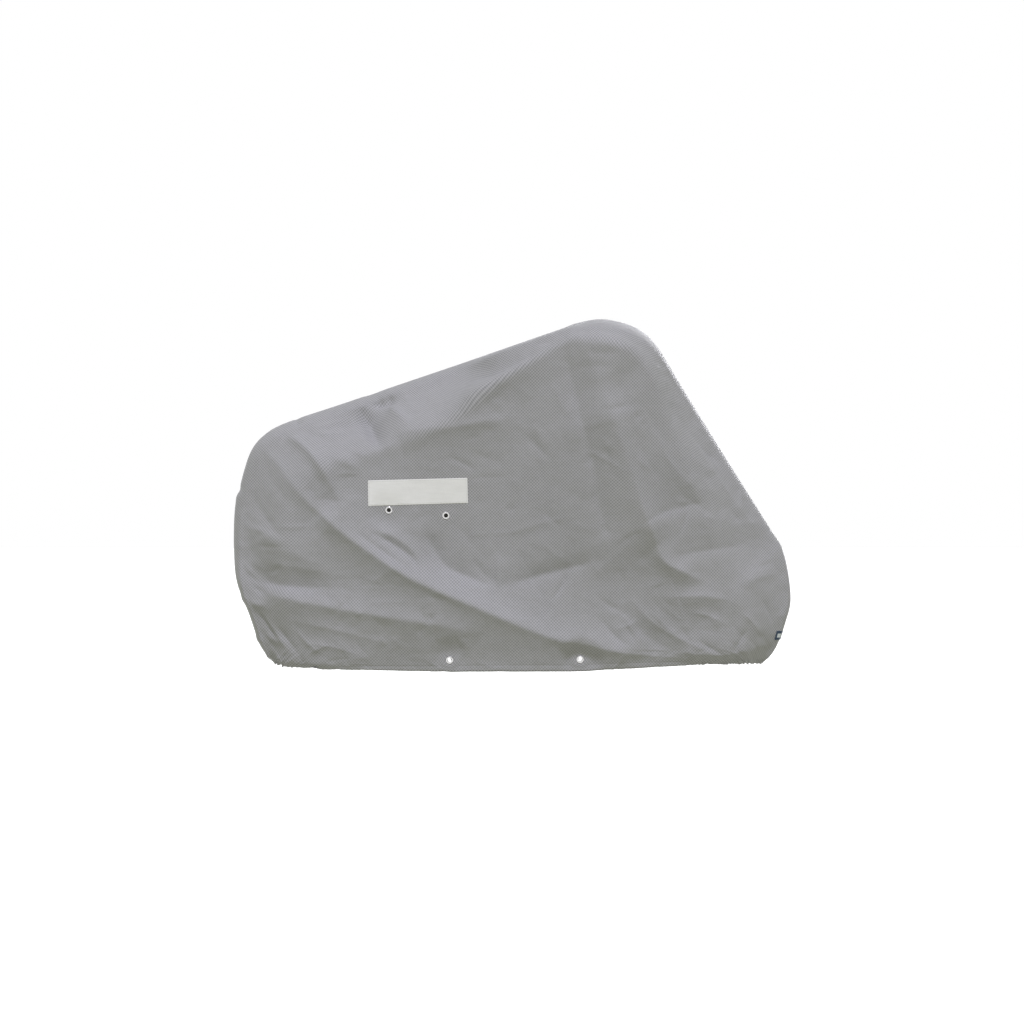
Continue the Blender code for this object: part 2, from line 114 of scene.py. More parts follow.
# A row for each fold: how far it stands out of the wall, or into it if below zero, its width on its
# upper and on its lower side, how crisp it is, where 2 is a soft swell and 1.1 a sharp crease, and
# then the points of its crest as x and z, where the camera sees them against the centre plane. The
# crest runs from rear to front, or downwards where it is steep, and then its upper side is the one
# towards the front.
Fold = namedtuple("Fold", "rise upper lower crisp crest")


def fold_table(*rows):
    return [Fold(*row[:4], crest=row[4:]) for row in rows]


NEAR_FOLDS = fold_table(
    # the long ridge from the rear shoulder down to the front of the hem
    (0.029, 0.085, 0.08, 1.25, (-0.96, -0.638), (-0.9, -0.69), (-0.855, -0.724), (-0.716, -0.824),
     (-0.391, -0.982), (-0.178, -1.068), (0.047, -1.118), (0.172, -1.135)),
    # the slope that leads down to it under the rear shoulder
    (0.008, 0.17, 0.06, 1.3, (-1.1, -0.5), (-1.0, -0.6), (-0.8, -0.765), (-0.6, -0.89)),
    # the soft swell under it at the rear
    (0.015, 0.12, 0.045, 1.5, (-1.205, -0.64), (-1.11, -0.74), (-0.98, -0.81), (-0.85, -0.855)),
    # the slope that hangs over under its middle
    (0.018, 0.04, 0.12, 1.3, (-0.76, -0.79), (-0.64, -0.862), (-0.45, -0.946), (-0.22, -1.045)),
    # the ridge under it at the rear, and the trough between them
    (0.021, 0.08, 0.085, 1.25, (-1.18, -0.905), (-1.0, -0.948), (-0.8, -0.984), (-0.62, -1.014),
     (-0.33, -1.068)),
    (-0.014, 0.075, 0.03, 1.3, (-1.215, -0.842), (-1.16, -0.877), (-1.09, -0.898), (-0.99, -0.905),
     (-0.83, -0.902)),
    # the ridge that comes down beside the rear shoulder
    (0.01, 0.06, 0.045, 1.25, (-1.042, -0.4), (-0.973, -0.457), (-0.912, -0.545), (-0.87, -0.64)),
    # the crease that drops from the roof, and the edge where the roof turns into the wall
    (-0.028, 0.07, 0.06, 1.15, (-0.828, -0.272), (-0.798, -0.325), (-0.768, -0.382),
     (-0.73, -0.465)),
    (0.014, 0.022, 0.05, 1.15, (-0.715, -0.28), (-0.688, -0.312), (-0.63, -0.366)),
    (0.015, 0.085, 0.085, 1.15, (-0.717, -0.372), (-0.58, -0.376), (-0.391, -0.347),
     (-0.25, -0.32)),
    # the taut ridge that comes down from the peak to the roof's edge, and the dip over it
    (0.019, 0.04, 0.05, 1.25, (-0.516, -0.34), (-0.329, -0.203), (-0.15, -0.086)),
    (-0.014, 0.04, 0.028, 1.4, (-0.466, -0.222), (-0.316, -0.16), (-0.18, -0.098)),
    # the soft upright fold that hangs from the peak and turns forward
    (0.04, 0.065, 0.13, 1.25, (0.0, -0.2), (0.04, -0.31), (0.08, -0.44), (0.127, -0.6),
     (0.17, -0.71), (0.225, -0.85)),
    (0.016, 0.06, 0.045, 1.2, (0.165, -0.765), (0.215, -0.812), (0.28, -0.848), (0.385, -0.905)),
    # the fullness under the peak, which leans in below
    (0.022, 0.03, 0.2, 1.6, (-0.11, -0.085), (0.03, -0.085), (0.16, -0.14)),
    # the troughs under the middle of the wall and beside the upper eyelets
    (-0.008, 0.06, 0.07, 1.3, (-0.37, -0.905), (-0.2, -0.862), (0.034, -0.805)),
    (-0.012, 0.065, 0.036, 1.3, (-0.605, -0.68), (-0.575, -0.75), (-0.525, -0.835),
     (-0.341, -0.898)),
    # the creases over the front foot
    (-0.01, 0.05, 0.035, 1.3, (0.075, -0.945), (0.125, -1.035), (0.2, -1.095), (0.33, -1.145)),
    (-0.005, 0.055, 0.055, 1.4, (0.235, -0.805), (0.423, -0.772), (0.545, -0.75)),
    (0.01, 0.03, 0.065, 1.25, (0.16, -0.942), (0.3, -0.932), (0.38, -0.935), (0.5, -0.968)),
    # the swells over both feet, above the gathered edge
    (0.024, 0.11, 0.026, 1.3, (0.23, -1.12), (0.4, -1.128), (0.525, -1.11)),
    (0.016, 0.07, 0.03, 1.3, (-1.13, -1.13), (-1.03, -1.155), (-0.86, -1.163)),
    # the gathers that the elastic draws in at the rear
    (0.005, 0.018, 0.018, 1.4, (-1.207, -0.868), (-1.146, -0.913)),
    (0.006, 0.018, 0.018, 1.4, (-1.193, -0.946), (-1.118, -0.975)),
    (0.006, 0.018, 0.018, 1.4, (-1.149, -1.06), (-1.06, -1.095)),
    (-0.005, 0.018, 0.018, 1.4, (-1.12, -1.125), (-1.03, -1.14)),
)
NEAR_CREASES = fold_table(
    # the deep short crease beside the rear shoulder, where it runs out, and what fans out from it
    (0.018, 0.026, 0.016, 1.1, (-1.062, -0.376), (-1.04, -0.402), (-0.997, -0.436),
     (-0.953, -0.485), (-0.912, -0.545)),
    (0.006, 0.03, 0.018, 1.2, (-0.98, -0.45), (-0.925, -0.528), (-0.885, -0.6), (-0.85, -0.68)),
    (0.007, 0.022, 0.014, 1.1, (-1.01, -0.378), (-0.93, -0.361), (-0.84, -0.325)),
    (0.0055, 0.018, 0.014, 1.1, (-0.98, -0.398), (-0.91, -0.388), (-0.835, -0.375)),
    (0.003, 0.014, 0.012, 1.1, (-0.91, -0.528), (-0.85, -0.52), (-0.79, -0.527)),
    (0.005, 0.018, 0.014, 1.1, (-0.93, -0.458), (-0.86, -0.484), (-0.79, -0.514)),
    (0.0035, 0.014, 0.013, 1.1, (-0.905, -0.44), (-0.86, -0.47), (-0.83, -0.505)),
    (0.0035, 0.014, 0.012, 1.1, (-0.87, -0.42), (-0.81, -0.452), (-0.76, -0.498)),
    (-0.014, 0.03, 0.012, 1.1, (-0.8, -0.281), (-0.74, -0.28), (-0.665, -0.268)),
    (-0.0065, 0.024, 0.026, 1.2, (-1.192, -0.567), (-1.13, -0.667), (-1.042, -0.767)),
    (0.006, 0.024, 0.02, 1.2, (-1.211, -0.692), (-1.13, -0.717), (-1.042, -0.767)),
    (-0.004, 0.016, 0.02, 1.1, (-1.222, -0.64), (-1.16, -0.69), (-1.075, -0.722)),
    (-0.004, 0.03, 0.024, 1.2, (-1.15, -0.48), (-1.08, -0.58), (-1.02, -0.65)),
    (0.004, 0.022, 0.018, 1.2, (-1.15, -0.42), (-1.105, -0.47), (-1.03, -0.535)),
    # the crest of the long ridge, and the stripes that run beside it under the upper eyelets
    (0.007, 0.03, 0.016, 1.1, (-1.12, -0.45), (-1.056, -0.533), (-1.0, -0.602), (-0.94, -0.655),
     (-0.88, -0.708), (-0.797, -0.767), (-0.716, -0.825), (-0.611, -0.889), (-0.391, -0.98),
     (-0.203, -1.06), (-0.066, -1.097), (0.047, -1.118), (0.172, -1.134), (0.36, -1.15)),
    (-0.0085, 0.013, 0.013, 1.2, (-0.86, -0.69), (-0.76, -0.762), (-0.68, -0.818), (-0.59, -0.885)),
    (-0.009, 0.014, 0.012, 1.2, (-0.8, -0.705), (-0.72, -0.745), (-0.64, -0.8), (-0.59, -0.87)),
    (0.006, 0.016, 0.012, 1.2, (-0.79, -0.69), (-0.71, -0.725), (-0.64, -0.77), (-0.58, -0.85)),
    (-0.0075, 0.04, 0.018, 1.1, (-0.6, -0.69), (-0.568, -0.76), (-0.52, -0.832), (-0.44, -0.868),
     (-0.341, -0.898)),
    # the crease that drops from the roof, and the roof's edge
    (-0.014, 0.036, 0.018, 1.1, (-0.824, -0.275), (-0.796, -0.322), (-0.764, -0.384),
     (-0.74, -0.44)),
    (0.007, 0.012, 0.03, 1.1, (-0.712, -0.288), (-0.688, -0.314), (-0.632, -0.364)),
    (0.0065, 0.04, 0.02, 1.1, (-0.74, -0.386), (-0.629, -0.381), (-0.516, -0.363), (-0.391, -0.344),
     (-0.256, -0.321)),
    # what comes down from the peak
    (0.009, 0.036, 0.02, 1.1, (-0.529, -0.352), (-0.441, -0.284), (-0.329, -0.203),
     (-0.228, -0.138), (-0.125, -0.066)),
    (-0.01, 0.03, 0.02, 1.15, (-0.48, -0.23), (-0.391, -0.194), (-0.266, -0.142), (-0.137, -0.076)),
    (-0.011, 0.06, 0.022, 1.1, (-0.128, -0.045), (-0.1, -0.192), (-0.065, -0.329), (-0.025, -0.48),
     (0.0, -0.642), (0.055, -0.775)),
    (0.009, 0.018, 0.04, 1.1, (0.08, -0.42), (0.13, -0.6), (0.168, -0.705), (0.21, -0.808),
     (0.28, -0.85), (0.37, -0.897)),
    (0.0025, 0.02, 0.022, 1.1, (-0.13, -0.05), (0.0, -0.062), (0.13, -0.096)),
    (-0.003, 0.014, 0.012, 1.2, (-0.055, -0.104), (0.0, -0.112), (0.065, -0.108)),
    # the bands and creases between the peak and the front slope
    (0.01, 0.026, 0.06, 1.1, (0.15, -0.3), (0.195, -0.4), (0.235, -0.48), (0.3, -0.55),
     (0.4, -0.6)),
    (-0.0035, 0.024, 0.014, 1.1, (0.095, -0.3), (0.12, -0.4), (0.172, -0.5), (0.23, -0.57)),
    (0.011, 0.022, 0.045, 1.1, (0.27, -0.33), (0.345, -0.465), (0.44, -0.605), (0.59, -0.79)),
    (-0.004, 0.014, 0.016, 1.1, (0.26, -0.33), (0.33, -0.42), (0.42, -0.5)),
    (-0.008, 0.065, 0.02, 1.1, (0.145, -0.658), (0.26, -0.638), (0.4, -0.601)),
    (-0.005, 0.032, 0.016, 1.1, (0.212, -0.81), (0.3, -0.79), (0.4, -0.774), (0.545, -0.75)),
    (0.005, 0.03, 0.026, 1.1, (0.44, -0.888), (0.54, -0.87), (0.635, -0.838)),
    (-0.005, 0.016, 0.016, 1.1, (0.42, -0.61), (0.45, -0.66), (0.48, -0.69)),
    (-0.005, 0.03, 0.012, 1.1, (0.495, -0.842), (0.55, -0.83), (0.61, -0.808)),
    # the middle of the wall
    (-0.006, 0.022, 0.016, 1.1, (-0.516, -0.842), (-0.441, -0.874), (-0.347, -0.903)),
    (-0.008, 0.026, 0.022, 1.1, (-0.347, -0.907), (-0.228, -0.872), (-0.078, -0.832),
     (0.044, -0.8)),
    (0.006, 0.03, 0.012, 1.1, (-0.35, -0.78), (-0.345, -0.845), (-0.341, -0.903)),
    (-0.005, 0.02, 0.02, 1.2, (-0.44, -0.79), (-0.4, -0.85), (-0.341, -0.9)),
    (-0.006, 0.01, 0.011, 1.1, (-0.122, -0.83), (-0.126, -0.893), (-0.172, -0.957)),
    (-0.007, 0.014, 0.014, 1.1, (-0.012, -0.992), (0.048, -1.067), (0.11, -1.108)),
    (-0.0035, 0.008, 0.009, 1.1, (-0.529, -0.457), (-0.466, -0.482), (-0.404, -0.523)),
    (-0.004, 0.009, 0.009, 1.1, (-0.266, -0.364), (-0.21, -0.429), (-0.16, -0.482)),
    (0.003, 0.01, 0.01, 1.1, (-0.23, -0.35), (-0.215, -0.37), (-0.19, -0.42)),
    # over the front foot
    (0.0075, 0.016, 0.032, 1.1, (0.085, -0.912), (0.14, -0.985), (0.215, -1.048), (0.33, -1.105),
     (0.43, -1.148)),
    (0.004, 0.018, 0.026, 1.1, (0.047, -0.943), (0.11, -1.05), (0.185, -1.118)),
    (0.005, 0.014, 0.016, 1.1, (0.15, -0.96), (0.215, -1.03), (0.3, -1.1)),
    (-0.006, 0.012, 0.014, 1.1, (0.32, -1.075), (0.372, -1.108), (0.439, -1.14)),
    (-0.005, 0.012, 0.014, 1.1, (0.44, -1.14), (0.47, -1.085), (0.52, -1.02)),
    (0.005, 0.02, 0.034, 1.1, (0.18, -0.938), (0.3, -0.932), (0.38, -0.935), (0.49, -0.965)),
    (0.005, 0.014, 0.014, 1.1, (0.29, -0.985), (0.37, -1.0), (0.44, -1.04)),
    (-0.005, 0.012, 0.012, 1.1, (0.54, -0.93), (0.57, -0.985), (0.59, -1.04)),
    (0.006, 0.014, 0.014, 1.1, (0.47, -0.985), (0.51, -1.02), (0.56, -1.09)),
    # the low rear, down to the gathered edge
    (0.006, 0.026, 0.04, 1.2, (-1.215, -0.8), (-1.092, -0.822), (-0.942, -0.85), (-0.8, -0.88)),
    (-0.007, 0.034, 0.014, 1.1, (-1.212, -0.845), (-1.165, -0.872), (-1.09, -0.896),
     (-0.99, -0.904), (-0.86, -0.898)),
    (0.007, 0.028, 0.034, 1.1, (-1.15, -0.92), (-1.09, -0.93), (-1.0, -0.952), (-0.9, -0.972),
     (-0.8, -0.99), (-0.62, -1.02), (-0.391, -1.062)),
    (0.005, 0.024, 0.022, 1.2, (-1.105, -0.996), (-0.892, -1.047), (-0.667, -1.105)),
    (0.006, 0.014, 0.014, 1.1, (-1.215, -0.8), (-1.165, -0.868), (-1.092, -0.905)),
    (-0.006, 0.012, 0.013, 1.1, (-1.205, -0.862), (-1.16, -0.908), (-1.11, -0.935)),
    (-0.007, 0.013, 0.014, 1.1, (-1.19, -0.945), (-1.12, -1.035), (-1.06, -1.13)),
    (0.006, 0.012, 0.013, 1.1, (-1.15, -0.975), (-1.09, -1.06), (-1.03, -1.14)),
    (-0.005, 0.01, 0.011, 1.1, (-1.15, -1.04), (-1.11, -1.095), (-1.07, -1.14)),
    (-0.006, 0.012, 0.013, 1.1, (-1.1, -1.02), (-1.05, -1.085), (-1.01, -1.135)),
    (0.006, 0.014, 0.014, 1.1, (-1.04, -1.03), (-0.985, -1.09), (-0.93, -1.13)),
    (0.005, 0.018, 0.014, 1.1, (-1.01, -1.085), (-0.9, -1.105), (-0.79, -1.14)),
    # where it was folded flat in its pack
    (-0.002, 0.006, 0.007, 1.1, (-0.911, -0.532), (-0.85, -0.529), (-0.792, -0.525)),
    (-0.0018, 0.007, 0.008, 1.1, (-0.448, -0.536), (-0.37, -0.533), (-0.297, -0.53)),
    (0.0025, 0.008, 0.007, 1.1, (-1.117, -0.702), (-1.03, -0.699), (-0.936, -0.695)),
    (0.002, 0.012, 0.008, 1.1, (-0.529, -0.732), (-0.304, -0.717), (-0.191, -0.686),
     (-0.022, -0.648)),
    (-0.0035, 0.008, 0.009, 1.1, (-0.016, -0.31), (0.06, -0.294), (0.135, -0.279)),
)
FAR_FOLDS = fold_table(
    (0.028, 0.09, 0.055, 1.7, (-1.12, -0.52), (-0.82, -0.76), (-0.42, -0.985), (0.05, -1.12)),
    (0.014, 0.06, 0.045, 1.7, (-1.18, -0.93), (-0.85, -1.01), (-0.45, -1.08)),
    (0.016, 0.09, 0.05, 1.7, (-0.74, -0.35), (-0.5, -0.365), (-0.26, -0.32)),
    (0.018, 0.1, 0.06, 1.7, (-0.09, -0.12), (-0.02, -0.45), (0.08, -0.72), (0.33, -0.9)),
    (-0.016, 0.045, 0.045, 1.6, (0.1, -0.93), (0.19, -1.03), (0.31, -1.13)),
)
FAR_CREASES = fold_table(
    (0.006, 0.024, 0.014, 1.3, (-1.12, -0.52), (-0.96, -0.655), (-0.82, -0.76), (-0.62, -0.88)),
    (-0.008, 0.016, 0.018, 1.4, (-1.05, -0.4), (-0.985, -0.47), (-0.925, -0.57)),
    (0.006, 0.016, 0.026, 1.3, (-0.76, -0.3), (-0.715, -0.39), (-0.69, -0.48)),
    (0.006, 0.032, 0.014, 1.3, (-0.7, -0.365), (-0.5, -0.368), (-0.3, -0.332)),
    (0.006, 0.03, 0.016, 1.3, (-0.48, -0.3), (-0.32, -0.19), (-0.16, -0.08)),
    (0.006, 0.02, 0.024, 1.4, (-0.56, -0.78), (-0.47, -0.87), (-0.34, -0.93)),
    (-0.005, 0.02, 0.018, 1.3, (-0.3, -0.88), (-0.15, -0.85), (0.03, -0.8)),
    (-0.005, 0.028, 0.024, 1.5, (0.16, -0.3), (0.23, -0.47), (0.36, -0.61)),
    (-0.006, 0.015, 0.02, 1.3, (0.24, -0.78), (0.4, -0.765), (0.56, -0.735)),
    (-0.007, 0.016, 0.016, 1.4, (0.1, -0.93), (0.19, -1.03), (0.31, -1.13)),
    (0.005, 0.024, 0.02, 1.5, (-1.18, -0.88), (-1.06, -0.93), (-0.85, -0.96)),
    (-0.006, 0.014, 0.014, 1.3, (-1.16, -0.99), (-1.09, -1.08), (-1.01, -1.15)),
    (0.0015, 0.007, 0.006, 1.1, (-1.1, -0.69), (-0.7, -0.69), (-0.3, -0.685)),
    (-0.0015, 0.007, 0.006, 1.1, (0.02, -0.33), (0.03, -0.6), (0.035, -0.86)),
)
FOLD_SAMPLES = 28  # points along a crest
FOLD_REACH = 4.0  # how many widths from its crest a fold is worked out
CREST = 0.10  # share of a fold's width over which its crest is rounded
FOLD_FADE = 0.42  # share of a fold's length over which each end dies away
FADE_LENGTH = 0.17  # and the most that this may be
FOLD_ENDS = 0.15  # share of a main fold's rise that is left at its ends
SEAM_CALM = 0.04  # main folds grow to their full rise over this depth below the crown
CREASE_GROWTH = 0.012  # and creases over this one
PATCH_CALM = 0.8  # share of the creases that the patch holds flat

# The many small creases of worn cloth: how many, and the least and greatest length, rise and width.
# They lie mostly along the pull, which falls from the rear shoulder towards the front of the hem.
SCATTER = 190
SCATTER_LENGTH = (0.035, 0.170)
SCATTER_RISE = (0.0012, 0.0034)
SCATTER_WIDTH = (0.007, 0.020)
SCATTER_UNEVEN = (0.6, 1.8)  # how wide one side is against the other
SCATTER_PULL = math.radians(-34)
SCATTER_SPREAD = math.radians(38)
SCATTER_ACROSS = 0.22  # share of them that lie across the pull
SCATTER_BOW = 0.16  # the most that one is bent, as a share of half its length
SCATTER_CRISP = 1.1
NEAR_SEED, FAR_SEED = 4.0, 9.0

# The unevenness all over the cloth, as the size of its features and their lift.
BROAD_SIZE, BROAD_LIFT = 0.115, 0.0038  # broad creases
FINE_SIZE, FINE_LIFT = 0.048, 0.0016  # fine creases
SWELL_SIZE, SWELL_LIFT = 0.21, 0.0030  # soft swells
BEND_SIZE, BEND = 0.11, 0.02  # how the creases wander
NOISE_LEVEL = 0.2  # what the noise of a crease is on average

# How the elastic draws the hem in, and from how far above its edge.
HEM_TUCK, HEM_TUCK_DEPTH = 0.0055, 0.110
# The puckers along the hem: their lift, how far up they reach, the pitch of their long and short
# waves, where each foot's begin and over what length they grow, and what is left between the feet.
GATHER_LIFT, GATHER_REACH = 0.0030, 0.030
GATHER_PITCH, GATHER_SHORT_PITCH = 0.027, 0.0165
REAR_GATHERS, FRONT_GATHERS = (-0.93, 0.14), (0.25, 0.16)
GATHER_LEAST = 0.10
TOOTH_RISE, TOOTH_REACH = 1.2, 0.02  # how they draw up the hem's edge

# Small bumps and dents of the outline, where the elastic draws the seam in and where the roof's
# crease meets it, as x, z, rise and radius.
OUTLINE_BUMPS = (
    (-0.775, -0.263, -0.0030, 0.012),
    (-0.755, -0.259, -0.0045, 0.012),
    (-0.732, -0.255, -0.0035, 0.011),
    (-0.780, -0.278, -0.0100, 0.013),
    (-0.745, -0.274, -0.0120, 0.015),
    (-0.712, -0.266, -0.0080, 0.013),
    (-1.022, -0.343, -0.0035, 0.010),
    (-1.022, -0.354, -0.0070, 0.010),
    (-1.010, -0.346, -0.0030, 0.009),
    (-1.217, -0.575, -0.0040, 0.013),
    (-1.230, -0.600, 0.0020, 0.014),
    (-1.203, -0.945, 0.0035, 0.015),
    (-1.152, -1.078, 0.0035, 0.013),
    (-1.120, -1.140, 0.0040, 0.010),
    (-1.103, -1.158, -0.0030, 0.008),
    (0.566, -1.146, 0.0020, 0.009),
)

HEM_EYELETS = (("rear", -0.506, -1.146), ("front", -0.070, -1.1436))
FAR_EYELETS = (("rear", -0.5107, -1.1571), ("front", -0.0649, -1.1547))
LOCK_EYELETS = (("rear", -0.709, -0.6445), ("front", -0.518, -0.6625))
FOLD_CALM, CREASE_CALM = 0.075, 0.030  # how far around an eyelet folds and creases die away
CALM_LEAST = 0.15  # share of the smallest relief that goes on under an eyelet
HOLE_RADIUS = 0.0068
BARREL_RADIUS = 0.0080
FLANGE_RADIUS = 0.0122
CLOTH_HOLE = 0.0082  # radius of the hole in the cloth, under the flange
HOLE_PULL = 0.034  # how far around a hole the grid is drawn back
HOLE_CELLS = 16  # and how many cells of it, at the most
EYELET_SIDES = 48

# The sewn-on pieces: their corners as x and z, clockwise from the upper rear one, the thickness of
# each, how far in its edge is rounded, and how thick it still is there.
PATCH = ((-0.779, -0.5455), (-0.4465, -0.537), (-0.4445, -0.621), (-0.778, -0.631))
TAB = ((0.595, -1.052), (0.6180, -1.052), (0.6100, -1.082), (0.587, -1.082))
SEWN_THICKNESS = 0.0010
PATCH_EDGE, TAB_EDGE = 0.0022, 0.0012
EDGE_LEAST = 0.35
SEWN_LIFT, SEWN_BASE = 0.0003, 0.0001  # how far both faces clear the cloth
PATCH_STITCHES, PATCH_STITCH_LIFT = 0.0045, 0.0012  # from the edge, and off the cloth
TAB_LIFT = 0.0016  # how far its free end stands off

SECTION_SAMPLES, DEPTH_SAMPLES = 3000, 1400  # how finely the smooth cover is measured

# The grid of a panel. Rows lie close together in the seam's groove and along the hem's stitches.
RIBS = 436
MIDDLE_ROWS = 192
SEAM_ROWS = (0.0, 0.0012, 0.0025, 0.0042, 0.0065)  # from the seam
HEM_ROWS = (0.031, 0.0255, 0.0228, 0.0210, 0.0192, 0.0140, 0.0070, 0.0)  # from the hem's edge
HEM_TURN_ROWS = 7  # the last rows, which the turned-up hem covers on the inside
HEM_TURN_RIBS = 4  # and the ribs at either foot
HEM_TURN_START = 3  # the row at which it starts beside the seam
HEM_TURN_GAP = 0.0011
HEM_TURN_CUT = 0.4  # how far above the panel's own cut the turned-up cloth lies in the UV map
STITCH_LINE = 0.0210
STITCH_DENT, STITCH_DENT_WIDTH = 0.0007, 0.0022
SEAM_SHARE = 0.62  # how much the seam counts against the hem in spacing the ribs
GROOVE_DEPTH, GROOVE_WIDTH = 0.0022, 0.0036
ALLOWANCE = (0.004, 0.012)  # the seam allowance inside, from the seam
SEAM_OPENING = 0.0001

STITCH_PITCH, STITCH_LENGTH, STITCH_RADIUS = 0.0040, 0.0030, 0.00028
PATH_STEP = 0.003  # from point to point of a path that stitches follow
FOOT_RIBS, FOOT_START = 12, 6  # where the feet's stitch lines are looked for: ribs, and first row
FLANGE_CLEAR = FLANGE_RADIUS + STITCH_LENGTH / 2

# colours, linear
CLOTH_GREY = (0.292, 0.292, 0.297)
PALE = (0.700, 0.700, 0.682)
NAVY = (0.016, 0.035, 0.060)
TAB_BLOCK = (0.520, 0.560, 0.580)
NICKEL = (0.560, 0.555, 0.545)
THREAD = (0.250, 0.250, 0.255)
SHEEN = (0.86, 0.88, 1.0)
WORLD, WORLD_STRENGTH = (0.985, 1.0, 0.835), 0.565

# Each light as its name, the direction towards it, the angle it spans, its strength and its colour.
LIGHTS = (
    ("key", (0.03, -0.54, 0.84), 12, 2.56, (0.822, 0.804, 1.0)),
    ("back", (0.25, 0.95, 0.20), 24, 1.9, (0.955, 0.940, 1.0)),
)
FLOOR_Z = -1.285
FLOOR_RADIUS, SURROUND_RADIUS = 80.0, 90.0

# the cloth's grain, in metres: the diamonds and the threads
DIAMOND, THREADS = 0.0104, 0.0011
WOVEN_THREADS = 0.0012
# What varies its grey: the shares of the two, and the scale, detail, roughness and share of each
# noise, with the darkest and the lightest grey against the middle one.
DIAMOND_SHARE, THREAD_SHARE = 0.34, 0.03
MOTTLES = ((3.2, 4.0, 0.55, 0.15), (42.0, 3.0, 0.6, 0.13), (150.0, 3.0, 0.7, 0.26))
DARKEST, LIGHTEST = 0.5, 1.5


def smooth(x):
    x = np.clip(x, 0.0, 1.0)
    return x * x * (3.0 - 2.0 * x)


def curve_through(points, places):
    """A Catmull-Rom curve through rows of numbers, read at places, where row i is at place i."""
    rows = np.asarray(points, float)
    rows = np.vstack([2 * rows[0] - rows[1], rows, 2 * rows[-1] - rows[-2]])
    first = np.clip(np.floor(places).astype(int), 0, len(points) - 2)
    u = (places - first)[:, None]
    a, b, c, d = (rows[first + k] for k in range(4))
    square, cube = 2 * a - 5 * b + 4 * c - d, 3 * b - a - 3 * c + d
    return 0.5 * (2 * b + (c - a) * u + square * u**2 + cube * u**3)


def travelled(points):
    """The distance along a polyline at each of its points."""
    return np.concatenate([[0.0], np.cumsum(np.linalg.norm(np.diff(points, axis=0), axis=1))])


# ------------------------------------------------------------------ the shape of a panel

def even_ribs():
    """The rows of SECTIONS read at ribs about evenly apart."""
    places = np.linspace(0, len(SECTIONS) - 1, SECTION_SAMPLES)
    rows = curve_through(SECTIONS, places)
    run = SEAM_SHARE * travelled(rows[:, 0:2]) + (1 - SEAM_SHARE) * travelled(rows[:, 2:4])
    return curve_through(SECTIONS, np.interp(np.linspace(0, run[-1], RIBS), run, places))


def half_width(ribs, depth, length):
    """The half width of the smooth cover at a depth along each rib."""
    crown_half, crown_depth, roof_depth, belly_half, hem_half = np.split(ribs[:, 4:], 5, axis=1)
    crown = crown_half * np.sqrt(1 - (1 - np.clip(depth / crown_depth, 0, 1)) ** 2)
    roof = (belly_half - crown_half) * smooth(depth / roof_depth)
    below_roof = (depth - roof_depth) / np.maximum(length - roof_depth, 0.01)
    return crown + roof + (hem_half - belly_half) * smooth(below_roof)


def smooth_wall():
    """The panel before it is creased, on the far side: points, arc from the seam, arc left to the
    hem, depth, crown depth, and the flat-cut place of each point."""
    ribs = even_ribs()
    seam, hem = ribs[:, 0:2], ribs[:, 2:4]
    length = np.linalg.norm(hem - seam, axis=1)[:, None]
    dense = length * np.linspace(0, 1, DEPTH_SAMPLES)[None, :] ** 2
    half = half_width(ribs, dense, length)
    steps = np.hypot(np.diff(dense, axis=1), np.diff(half, axis=1))
    arcs = np.hstack([np.zeros((RIBS, 1)), np.cumsum(steps, axis=1)])
    full = arcs[:, -1:]
    middle = np.linspace(0, 1, MIDDLE_ROWS + 2)[1:-1][None, :]
    wanted = np.hstack([
        np.repeat([SEAM_ROWS], RIBS, axis=0),
        SEAM_ROWS[-1] + (full - HEM_ROWS[0] - SEAM_ROWS[-1]) * middle,
        full - np.array([HEM_ROWS]),
    ])
    depth = np.stack([np.interp(wanted[i], arcs[i], dense[i]) for i in range(RIBS)])
    along = (hem - seam)[:, None, :] / length[:, :, None]
    place = seam[:, None, :] + along * depth[:, :, None]
    half = half_width(ribs, depth, length)
    points = np.stack([place[:, :, 0], half, place[:, :, 1] + TOP], axis=2)
    cut = hem[:, None, :] - along * (full - wanted)[:, :, None]
    return points, wanted, full - wanted, depth, ribs[:, 5, None], cut


def outward(points):
    """The unit normals of a grid of points on the far side, which leave the centre plane."""
    normals = np.cross(np.gradient(points, axis=0), np.gradient(points, axis=1))
    normals[:, 0, 1] = 0  # along the seam the sheet is square to the centre plane
    normals /= np.maximum(np.linalg.norm(normals, axis=2, keepdims=True), 1e-12)
    return normals * np.sign(normals[:, -1, 1]).mean()


